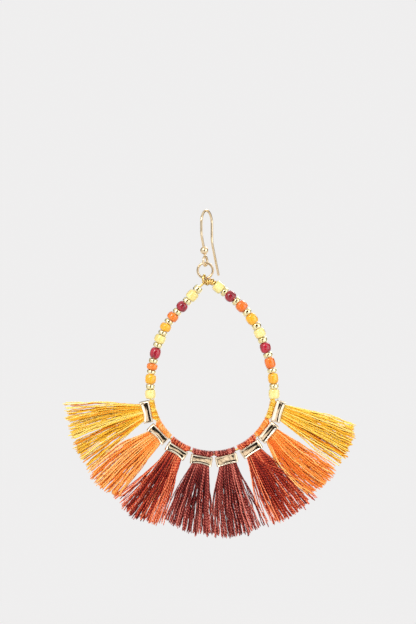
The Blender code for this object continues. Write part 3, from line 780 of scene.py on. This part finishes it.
def build_ring():
    """Jump ring with the fine cut where it was closed."""
    half_gap = math.degrees(RING_CUT_HALF / RING_RADIUS)
    first, last = RING_CUT + half_gap, RING_CUT + 360 - half_gap
    line = circle(RING_CENTRE, RING_RADIUS, (1, 0, 0), first, last, RING_STEPS)
    wide = np.full(len(line), RING_WIRE / 2)
    wide[[0, -1]] *= RING_CUT_THIN
    shape = Shape()
    shape.wire(line, wide, WIRE_SIDES, Y)
    shape.piece("ring_link", "ring_gold", "ring", "jump_ring")


def coil_line(right):
    """Middle of the wire's own end, from the eye's bottom and wound by hand round the right arm."""
    share = np.linspace(0, 1, COIL_STEPS)
    spine = along(right, COIL_START + share * COIL_LENGTH)
    way = unit(np.gradient(spine, axis=0))
    aside = np.cross(way, Y)
    angle = math.radians(COIL_FIRST) + share * COIL_TURNS * 2 * math.pi
    spine = spine + UP * (COIL_LIFT * np.sin(share * math.pi))[:, None]
    uneven = COIL_UNEVEN * np.sin(angle * COIL_UNEVEN_PACE + COIL_UNEVEN_FROM)
    radius = HOOP_WIRE * (COIL_WIDE + uneven)[:, None]
    coil = spine + radius * turned(angle, aside, Y)
    coil += way * (COIL_SLIP * np.sin(angle * COIL_SLIP_PACE))[:, None]
    return np.concatenate((EYE_BOTTOM + np.array(COIL_LEAVES), coil))


def build_hoop(left, right):
    """Hoop wire with its eye, and its end wound round the right arm."""
    wire = HOOP_WIRE / 2
    down_left = along(left, np.arange(0, arm_length(left), ARM_SPACING))
    down_right = along(right, np.arange(0, arm_length(right), ARM_SPACING))
    arc = circle(HOOP_CENTRE, HOOP_RADIUS, (1, 0, 0), 180, 360, ARC_STEPS)
    line = np.concatenate((down_left, arc, down_right[::-1]))
    line[0] += np.array((-END_ASIDE, 0, END_UP))
    line[-1] += np.array((END_ASIDE, 0, END_UP))
    shape = Shape()
    shape.wire(line, wire, HOOP_SIDES, Y)
    turn = math.radians(EYE_SEEN_TURN)
    across = np.array((math.cos(turn), math.sin(turn), 0.0))
    loop = circle(EYE_CENTRE, HOOP_EYE_RADIUS, across, 0, 360, EYE_STEPS + 1)[:-1]
    shape.wire(loop, wire, HOOP_SIDES, np.cross(across, UP), closed=True)
    shape.wire(*rounded_end(coil_line(right), wire), COIL_SIDES)
    shape.piece("hoop_and_coil", "hoop_gold", "drop", "hoop_wire")


def bead_outline(kind, length, radius):
    """Closed half outline of a bead, up its outer side and down its bore."""
    full, flat = BEAD_ROUND[kind]
    angle = np.linspace(math.pi, 0, BEAD_LEVELS)
    high = np.cos(angle)
    high = np.sign(high) * np.abs(high) ** flat * length / 2
    wide = BORE + (radius - BORE) * np.sin(angle) ** full
    inner = np.linspace(length / 2, -length / 2, BORE_LEVELS + 2)[1:-1]
    return np.concatenate((wide, np.full(BORE_LEVELS, BORE))), np.concatenate((high, inner))


def build_bead(name, kind, radius, length, seated, rng):
    """One bead, a little tilted on the wire, a little oval and slanted at its ends."""
    start, middle, end = seated
    place = (start + end) / 4 + middle / 2
    upward = unit(start - end)
    aside = np.cross(Y, upward)
    tilt = rng.normal(0, BEAD_TILT, 2)
    upward = unit(upward + tilt[0] * aside + tilt[1] * Y)
    aside = unit(np.cross(Y, upward))
    deep = np.cross(upward, aside)
    out, high = bead_outline(kind, length, radius)
    oval, lobed, _, slant = rng.uniform(0, 2 * math.pi, 4)
    turn = 2 * math.pi * np.arange(BEAD_SIDES) / BEAD_SIDES
    swell = 1 + BEAD_OVAL * np.cos(2 * turn + oval) + BEAD_LOBED * np.cos(3 * turn + lobed)
    wide = BORE + (out - BORE)[:, None] * swell
    lift = (out - BORE)[:, None] / (radius - BORE)
    high = high[:, None] * (1 + BEAD_SLANT * lift * np.cos(turn + slant)) * BEAD_SQUEEZE
    points = place + wide[..., None] * turned(turn, aside, deep) + high[..., None] * upward
    shape = Shape()
    shape.grid(points, wrap=True, tone=rng.uniform(0, 1))
    shape.piece(f"{name}_glass" if kind != "gold" else f"{name}_spacer", f"bead_{kind}", "drop", name)


def build_beads(names, rows, line, first, seed):
    """Beads of one arm, each sitting a little loose on the wire."""
    rng = np.random.RandomState(seed)
    strung = arm_length(line) + STRING_PAST - first
    shares = sum(row[1] for row in rows)
    distance = first
    for number, (kind, share, wide) in enumerate(rows, 1):
        room = share / shares * strung
        length = room - BEAD_GAP
        seated = along(line, distance + room / 2 + np.array((-0.5, 0.0, 0.5)) * length)
        build_bead(f"{names}_{number:02d}", kind, wide * BEAD_DIAMETER / 2, length, seated, rng)
        distance += room


def cuff_section():
    """Corner sides and turn of each point round the sleeve: along each side, then round its corner."""
    sides = (
        (1, -1, 1, 1, CUFF_NARROW_STEPS),
        (1, 1, -1, 1, CUFF_FLAT_STEPS),
        (-1, 1, -1, -1, CUFF_NARROW_STEPS),
        (-1, -1, 1, -1, CUFF_FLAT_STEPS),
    )
    rows = []
    for number, (x, y, next_x, next_y, count) in enumerate(sides):
        for i in range(count):
            rows.append((x + (next_x - x) * i / count, y + (next_y - y) * i / count, 90 * number))
        for i in range(CUFF_CORNER_STEPS):
            rows.append((next_x, next_y, 90 * (number + i / CUFF_CORNER_STEPS)))
    return np.array(rows, float)


def cuff_levels():
    """Height and inset of each row of the sleeve: up its face, over its lip, down its bore and back."""
    straight = CUFF_HEIGHT / 2 - CUFF_LIP
    shares = [low + (high - low) * i / count for low, high, count in CUFF_ROWS for i in range(count)]
    outside = [(share * straight, 0.0) for share in shares + [1.0]]
    bends = np.linspace(0, math.pi, CUFF_LIP_STEPS + 2)[1:-1]
    lip = [(straight + CUFF_LIP * math.sin(a), CUFF_WALL / 2 * (1 - math.cos(a))) for a in bends]
    bore = [(share * straight, CUFF_WALL) for share in np.linspace(1, -1, CUFF_BORE_STEPS)]
    return outside + lip + bore + [(-high, inset) for high, inset in reversed(lip)]


def card_tilt(centre, across, axis):
    """Slopes along two directions that turn a face at a point so that it mirrors the front card's middle."""
    away = VIEW_HEIGHT * LENS / SENSOR
    seen = centre + (centre - np.array(AIM)) * CARD_AWAY / away
    turn = (np.array(CARD_MIDDLE) - seen) / (2 * CARD_AWAY)
    return turn[0] * across[0] + turn[2] * across[2], turn[0] * axis[0] + turn[2] * axis[2]


def cuff_dish(x, z, tilt, face):
    """Depth of the dished face at places across it and a height along it."""
    look_across, look_along, bend_across, bend_along = face
    level = CUFF_DISH + tilt[0] * x + tilt[1] * z
    return level - bend_across * (x - look_across) ** 2 - bend_along * (z - look_along) ** 2


def build_cuff(number, seat, lean, bow, face):
    """Flattened sleeve: flared round rims, and a face pressed in between them."""
    section = cuff_section()
    cx, cy, turn = section[:, 0], section[:, 1], np.radians(section[:, 2])
    top = CUFF_HEIGHT / 2
    axis = -outward(seat + lean)
    across = sideways(seat + lean)
    centre = HOOP_CENTRE + outward(seat) * HOOP_RADIUS - axis * CUFF_DROP
    tilt = card_tilt(centre, across, axis)
    points = []
    for z, inset in cuff_levels():
        near = max(0.0, top - abs(z))
        rim = math.exp(-((near / (CUFF_RIM_WIRE if z > 0 else CUFF_RIM_FRINGE)) ** 2))
        half_wide = CUFF_WIDTH / 2 + CUFF_BULGE * (1 - CUFF_BULGE_FALL * (z / top) ** 2) - inset
        half_deep = CUFF_DEPTH / 2 - inset
        corner = max(CUFF_CORNER - CUFF_CORNER_FALL * inset, CUFF_INNER_CORNER)
        x = cx * (half_wide - corner) + corner * np.cos(turn)
        y = cy * (half_deep - corner) + corner * np.sin(turn)
        inside = 1 - smoothstep(*CUFF_DISH_ENDS, np.abs(x) / half_wide)
        y = y - np.sin(turn) * (cuff_dish(x, z, tilt, face) * inside + CUFF_PRESS) * (1 - rim)
        bowed = bow * (1 - (x / (CUFF_WIDTH / 2)) ** 2) * np.abs(np.sin(turn))
        high = z + bowed * smoothstep(*CUFF_BOW_ENDS, z / top)
        points.append(centre + x[:, None] * across + y[:, None] * Y + high[:, None] * axis)
    shape = Shape()
    shape.grid(np.array(points), wrap=True)
    shape.piece(f"cuff_{number}_sleeve", "cuff_gold", "drop", f"cuff_{number}")


def on_photo(place, deep):
    """A pixel of the photograph as a point of the part's frame, at a depth."""
    return np.array(((place[0] - PHOTO_ORIGIN[0]) * PIXEL, deep, -(place[1] - PHOTO_ORIGIN[1]) * PIXEL))


def edge_line(root, axis, middle, tip, s):
    """One edge of a fringe: out of the cuff along its axis, through its middle and on to its tip."""
    first = (middle - root) / 0.5
    last = (tip - middle) / 0.5
    joined = (first + last) / 2
    leaving = (axis * float(np.linalg.norm(tip - root)) - first) * EDGE_LEAVING
    slopes = (first * 1.5 - joined * 0.5 + leaving, joined, last * 1.5 - joined * 0.5)
    found = []
    for value in s:
        if value > 1:
            found.append(tip + slopes[2] * (value - 1))
            continue
        if value < 0.5:
            t, a, b, m, n = value / 0.5, root, middle, slopes[0], slopes[1]
        else:
            t, a, b, m, n = (value - 0.5) / 0.5, middle, tip, slopes[1], slopes[2]
        square, cube = t * t, t * t * t
        ends = a * (2 * cube - 3 * square + 1) + b * (3 * square - 2 * cube)
        found.append(ends + m * 0.5 * (cube - 2 * square + t) + n * 0.5 * (cube - square))
    return np.array(found)


def strand_places(number, count, rng):
    """Where each thread's two legs end across the fringe, from -1 at its left edge to 1 at its right."""
    left, left_out, right, right_out = FAN_LOOSE[number - 1]
    even = -1 + 2 * (np.arange(count) + 0.5) / count
    ends = []
    for _ in range(2):
        spread = even * (EVEN_SHARE + (1 - EVEN_SHARE) * even**2) + rng.normal(0, END_SCATTER, count)
        ends.append(np.clip(spread, -END_LIMIT, END_LIMIT))
    for k in range(left):
        ends[k % 2][k // 2] = -1 - left_out * (k + 1) / left / 10
    for k in range(right):
        ends[k % 2][count - 1 - k // 2] = 1 + right_out * (k + 1) / right / 10
    return ends


def head_reach(number):
    """How far along the wire a head spreads to both sides: up to its neighbours, or to HEAD_SPREAD."""
    seats = [row[1] for row in TASSELS]
    found = []
    for neighbour in (number - 2, number):
        room = HEAD_SPREAD
        if 0 <= neighbour < len(seats):
            apart = abs(math.radians(seats[neighbour] - seats[number - 1]))
            room = apart / 2 * (HOOP_RADIUS - HEADS_MEET) - HEAD_GAP
        found.append(min(room, HEAD_SPREAD) - HEAD_THREAD)
    return -found[0], found[1]


class Fan:
    """Where one tassel lies, how its fringe spreads, and the clumps that its strands draw together in."""

    def __init__(self, number, colour, seat, lean, rng):
        self.number, self.colour, self.seat = number, colour, seat
        self.wire = HOOP_CENTRE + outward(seat) * HOOP_RADIUS
        self.axis = outward(seat + lean)
        self.across = sideways(seat + lean)
        self.root = self.wire + self.axis * (CUFF_DROP + CUFF_HEIGHT / 2 - NECK_INSET)
        self.edges = [on_photo(place, self.root[1]) for place in FAN_EDGES[number - 1]]
        self.length = float(np.linalg.norm((self.edges[1] + self.edges[3]) / 2 - self.root))
        self.tones = FAN_TONES[number - 1]
        self.head_left, self.head_right = head_reach(number)
        self.clump_x = np.linspace(-1, 1, CLUMPS) + rng.normal(0, CLUMP_ASIDE, CLUMPS)
        self.clump_deep = rng.uniform(-CLUMP_DEEP, CLUMP_DEEP, CLUMPS)
        self.clump_long = rng.normal(0, CLUMP_LONG, CLUMPS)
        self.clump_tone = rng.normal(0, CLUMP_TONE, CLUMPS)

    def between_edges(self, s, share_x):
        """Points at shares s of the fringe's length, and share_x from its left edge to its right."""
        mouth = self.across * MOUTH_HALF
        left = edge_line(self.root - mouth, self.axis, *self.edges[:2], s)
        right = edge_line(self.root + mouth, self.axis, *self.edges[2:], s)
        return left * ((1 - share_x) / 2)[:, None] + right * ((1 + share_x) / 2)[:, None]

    def placed_tone(self, s, share_x):
        """Tone that a strand has by its place in the fringe, and by the cuff's mouth."""
        aside = np.interp(share_x, (-1, 0, 1), self.tones[:3]) * smoothstep(*EDGE_TONE_GROWS, s)
        by_mouth = TONE_MOUTH * (1 - smoothstep(*MOUTH_TONE_ENDS, s))
        return by_mouth + (aside + self.tones[3] * smoothstep(*TIP_TONE_GROWS, s))


class Folded:
    """One thread folded over the wire: its place in the head and neck, its layer and its tone."""

    def __init__(self, fan, i, count, rng):
        x = -1 + 2 * (i + 0.5) / count
        half_spread = (fan.head_right - fan.head_left) / 2
        x_head = (fan.head_left + fan.head_right) / 2 + x * half_spread + rng.normal(0, SCATTER)
        self.layer = (0, 2, 1)[i % HEAD_LAYERS]
        self.x_neck = x * NECK_SHARE + rng.normal(0, SCATTER)
        self.loop = HOOP_WIRE / 2 + HEAD_THREAD + LAYER_PITCH * self.layer + rng.normal(0, SCATTER)
        self.neck_depth = HEAD_THREAD + NECK_PITCH * self.layer
        self.on_wire = HOOP_CENTRE + outward(fan.seat + math.degrees(x_head / HOOP_RADIUS)) * HOOP_RADIUS
        self.tone = TONE_MIDDLE + rng.normal(0, TONE_SPREAD)
        self.on_top = [row[2:] for row in ODD_THREADS if row[:2] == (fan.number, i)]

    def head(self, fan, side):
        """Its line in the head and neck, from the wire's level down, in front or behind."""
        opening = NECK_HALF + (MOUTH_HALF - NECK_HALF) * smoothstep(*MOUTH_OPENS, HEAD_STEPS)
        in_neck = fan.wire + fan.across * (self.x_neck * opening)[:, None]
        pinch = smoothstep(*HEAD_PINCH, HEAD_STEPS)
        base = self.on_wire * (1 - pinch)[:, None] + in_neck * pinch[:, None]
        deep = self.loop + (self.neck_depth - self.loop) * smoothstep(*HEAD_FOLD, HEAD_STEPS)
        return base + fan.axis * HEAD_STEPS[:, None] + Y * (side * deep)[:, None]

    def leg(self, fan, side, x_end, rng):
        """Line, radii and tones of one of its legs, in front or behind, from the wire's level to its tip."""
        loose = abs(x_end) > LOOSE_FROM
        depth = (self.layer + rng.uniform(*LAYER_DEPTH)) / HEAD_LAYERS
        if self.on_top and side < 0:
            depth = ODD_DEPTH
            x_end, self.tone = self.on_top[0]
        group = round((x_end + 1) / 2 * (CLUMPS - 1) + rng.normal(0, CLUMP_REACH))
        group = min(max(group, 0), CLUMPS - 1)
        pull = 0.0 if loose else rng.uniform(*CLUMP_PULL)
        longer = rng.normal(0, LENGTH_SPREAD) + fan.clump_long[group]
        if rng.uniform() < SHORT_SHARE:
            longer -= rng.uniform(*SHORT_BY)
        stray = rng.normal(0, 1.0) * (STRAY_FAR if rng.uniform() < STRAY_SHARE else STRAY_NEAR)
        end_share = 1 + FRINGE_BULGE * (1 - min(1, abs(x_end)) ** 2) / fan.length + longer
        s = np.linspace(0, end_share, int(fan.length * end_share / THREAD_STEP) + 1)[1:]
        gather = pull * smoothstep(*PULL_GROWS, s)
        share_x = self.x_neck + (x_end - self.x_neck) * smoothstep(*SPREAD_GROWS, s)
        share_x = share_x + (fan.clump_x[group] - share_x) * gather
        sway, swing = waves(s, fan.length, rng)
        deep = self.fringe_depth(s, share_x, depth) + fan.clump_deep[group] * CLUMP_DEPTH_SHARE * gather
        fringe = (
            fan.between_edges(s, share_x)
            + fan.across * (sway + stray * s**STRAY_POWER)[:, None]
            + Y * (side * deep + swing)[:, None]
        )
        wide = HEAD_THREAD + (FRINGE_THREAD - HEAD_THREAD) * smoothstep(*THREAD_GROWS, s)
        wide[-1] *= TIP_THIN
        own = self.tone + fan.clump_tone[group] + (LOOSE_TONE[fan.colour] if loose else 0.0)
        # Painted shade: a darker band across the lighter head, in the crease below the wire
        head_and_crease_shade = TONE_HEAD - CREASE_SHADE * np.exp(-(((HEAD_STEPS - CREASE_SHADE_AT) / CREASE_SHADE_WIDE) ** 2))
        lit = np.concatenate((head_and_crease_shade, fan.placed_tone(s, share_x)))
        return (
            np.concatenate((self.head(fan, side), fringe)),
            np.concatenate((np.full(len(HEAD_STEPS), HEAD_THREAD), wide)),
            own + rng.normal(0, TONE_LEG) + lit,
        )

    def fringe_depth(self, s, share_x, depth):
        """How far a leg lies from the fringe's middle layer: as in the neck, then opening out."""
        edge = EDGE_THIN + (1 - EDGE_THIN) * np.sqrt(1 - np.clip(share_x, -1, 1) ** 2)
        opened = 1 - (1 - np.minimum(s, 1)) ** OPEN_POWER
        return self.neck_depth + (FRINGE_DEPTH / 2 * depth * edge - self.neck_depth) * opened

    def add_to(self, shape, fan, ends, rng):
        """Lays both legs and the fold over the wire as one twisted thread."""
        front = self.leg(fan, -1, ends[0], rng)
        back = self.leg(fan, 1, ends[1], rng)
        angles = np.radians(np.arange(OVER_STEP, 180, OVER_STEP))
        over = self.on_wire - self.loop * turned(angles, Y, fan.axis)
        fold = (over, np.full(len(over), HEAD_THREAD), np.full(len(over), self.tone + TONE_OVER))
        path, radius, tone = [np.concatenate((a[::-1], b, c)) for a, b, c in zip(front, fold, back)]
        turn = 2 * math.pi * distances(path) / PLY_PITCH + rng.uniform(0, 2 * math.pi)
        path = path + PLY_SWAY * turned(turn, fan.across, Y)
        points, lengths = rings(path, radius, THREAD_SIDES, fan.across)
        tone = np.clip(tone, TONE_LEAST, TONE_MOST)
        shape.grid(points, lengths=lengths + rng.uniform(0, PLY_START), tone=tone, caps=True)


def waves(s, length, rng):
    """How a strand sways across the fringe and swings in its depth, at shares s of the fringe's length."""
    slow_start, quick_start, deep_start, _ = rng.uniform(0, 2 * math.pi, 4)
    slow = 2 * math.pi * s * length / rng.uniform(*SLOW_WAVE)
    quick = 2 * math.pi * s * length / rng.uniform(*QUICK_WAVE)
    sway = rng.uniform(*SLOW_SWAY) * np.sin(slow + slow_start)
    sway = sway + rng.uniform(*QUICK_SWAY) * np.sin(quick + quick_start)
    swing = rng.uniform(*DEEP_SWAY) * np.sin(slow + deep_start)
    grows = smoothstep(*SWAY_GROWS, s)
    return grows * sway, grows * swing


def build_tassel(number, colour, seat, lean, count):
    """Threads folded over the wire, gathered in the cuff and fanned below it."""
    rng = np.random.RandomState(TASSEL_SEED + number)
    fan = Fan(number, colour, seat, lean, rng)
    ends = strand_places(number, count, rng)
    shape = Shape()
    for i in range(count):
        Folded(fan, i, count, rng).add_to(shape, fan, (ends[0][i], ends[1][i]), rng)
    shape.piece(f"tassel_{number}_threads", f"thread_{colour}", "drop", f"tassel_{number}")


def stage_mesh(name, verts, faces, material):
    """A mesh that is scenery, given in millimetres."""
    made = linked(name, new_mesh(name, verts, faces, material))
    return made


def floor_look():
    """Pale floor that fades into the backdrop with distance."""
    made, node, drive = nodes_of("pale_floor")
    tree = made.node_tree
    place = node("ShaderNodeTexCoord").outputs["Object"]
    away = node("ShaderNodeVectorMath", {0: place}, operation="LENGTH").outputs["Value"]
    fade = {"Value": away, "From Min": FLOOR_FADE[0], "From Max": FLOOR_FADE[1]}
    blend = node("ShaderNodeMapRange", fade, interpolation_type="SMOOTHSTEP").outputs["Result"]
    grain = noise(node, place, scale=30.0, detail=3.0)
    drive("Base Color", ramp(node, grain, ((0.3, FLOOR_TONES[0]), (0.7, FLOOR_TONES[1]))))
    drive("Roughness", 0.8)
    near = tree.nodes["Principled BSDF"].outputs[0]
    far = node("ShaderNodeEmission", {"Color": BACKDROP, "Strength": 1.0}).outputs[0]
    mixed = node("ShaderNodeMixShader", {0: blend, 1: near, 2: far}).outputs[0]
    tree.links.new(mixed, tree.nodes["Material Output"].inputs["Surface"])
    return made


def build_floor():
    """A level disc of two rings round its middle."""
    verts = [(0, 0, FLOOR_LEVEL)]
    for reach in FLOOR_RINGS:
        for i in range(FLOOR_SIDES):
            angle = 2 * math.pi * i / FLOOR_SIDES
            verts.append((reach * math.cos(angle), reach * math.sin(angle), FLOOR_LEVEL))
    faces = []
    for i in range(FLOOR_SIDES):
        a, b = 1 + i, 1 + (i + 1) % FLOOR_SIDES
        faces.append((0, a, b))
        faces.append((a, a + FLOOR_SIDES, b + FLOOR_SIDES, b))
    stage_mesh("floor", verts, faces, floor_look())


def build_card(name, corners, colour, streak=None, glow=0.0):
    """A card that only shows in reflections: plain, streaked with a second colour, or glowing white."""
    made, node, drive = nodes_of(name)
    if streak:
        place = node("ShaderNodeTexCoord").outputs["Object"]
        drawn_out = {"Vector": place, "Rotation": (0, 0.5, 0), "Scale": (1.0, 1.0, 0.3)}
        slant = node("ShaderNodeMapping", drawn_out).outputs["Vector"]
        streaks = noise(node, slant, scale=45.0, detail=3.0)
        drive("Base Color", ramp(node, streaks, ((0.36, colour), (0.46, streak))))
    else:
        drive("Base Color", colour)
    drive("Roughness", 0.9)
    drive("Specular IOR Level", 0.0)
    drive("Emission Strength", glow)
    card = stage_mesh(name, corners, [(0, 1, 2, 3)], made)
    card.visible_camera = False
    card.visible_shadow = False
    card.visible_diffuse = False


def upright(left, right, low, high, y):
    """Corners of a card in front or behind."""
    return [(left, y, low), (right, y, low), (right, y, high), (left, y, high)]


def at_side(front, back, low, high, x):
    """Corners of a card at one side."""
    return [(x, front, low), (x, back, low), (x, back, high), (x, front, high)]


def build_cards():
    """Cards that polished metal needs to read as metal."""
    for side, y in (("front", -CARD_AWAY), ("back", CARD_AWAY)):
        nearer = y - math.copysign(CARD_NEARER, y)
        build_card(f"dark_card_{side}", upright(*DARK_CARD, y), DARK)
        build_card(f"upper_card_{side}", upright(*UPPER_CARD, y), DARK)
        build_card(f"warm_card_{side}", upright(*WARM_CARD, nearer), WARM, streak=PALE)
        for name, edges in WHITE_CARDS:
            build_card(f"white_card_{side}_{name}", upright(*edges, y), GREY, glow=WHITE_GLOW)
    for name, x in (("left", -SIDE_AWAY), ("right", SIDE_AWAY)):
        build_card(f"dark_card_{name}", at_side(*SIDE_CARD, x), BROWN)


def area_light(name, at, size, power, colour, mirrored):
    """A soft light that looks at the middle of the part."""
    data = bpy.data.lights.new(name, "AREA")
    data.shape = "RECTANGLE"
    data.size, data.size_y = size[0] * MM, size[1] * MM
    data.energy = power
    data.color = colour
    made = linked(name, data)
    made.visible_camera = False
    made.visible_glossy = mirrored
    made.location = Vector(at) * MM
    made.rotation_euler = (Vector(LIGHT_AIM) - Vector(at)).to_track_quat("-Z", "Y").to_euler()


def build_light():
    """Pale surroundings and the soft lights."""
    world = bpy.data.worlds.new("pale_world")
    bpy.context.scene.world = world
    world.use_nodes = True
    back = world.node_tree.nodes["Background"]
    back.inputs["Color"].default_value = BACKDROP
    back.inputs["Strength"].default_value = 1.0
    for light in LIGHTS:
        area_light(*light)


def build_camera():
    """A camera straight in front."""
    data = bpy.data.cameras.new("camera")
    data.lens = LENS
    data.sensor_width = SENSOR
    data.clip_start = 0.01
    data.clip_end = 50
    made = linked("camera", data)
    away = VIEW_HEIGHT * LENS / SENSOR
    made.location = (AIM[0] * MM, (AIM[1] - away) * MM, AIM[2] * MM)
    made.rotation_euler = (math.radians(90), 0, 0)
    bpy.context.scene.camera = made


def build():
    """The whole scene: camera, lights and stage, then the dressed part."""
    bpy.context.scene.view_settings.view_transform = "Standard"
    build_camera()
    build_light()
    build_cards()
    build_floor()
    left = arm_line(LEFT_ROUTE, -1)
    right = arm_line(RIGHT_ROUTE, 1)
    build_hook()
    build_ring()
    build_hoop(left, right)
    build_beads("bead_left", LEFT_BEADS, left, LEFT_FIRST, seed=11)
    build_beads("bead_right", RIGHT_BEADS, right, RIGHT_FIRST, seed=12)
    rows = zip(TASSELS, CUFF_BOW, CUFF_FACE, THREADS)
    for number, ((colour, seat, lean), bow, face, count) in enumerate(rows, 1):
        build_cuff(number, seat, lean, bow, face)
        build_tassel(number, colour, seat, lean, count)


build()
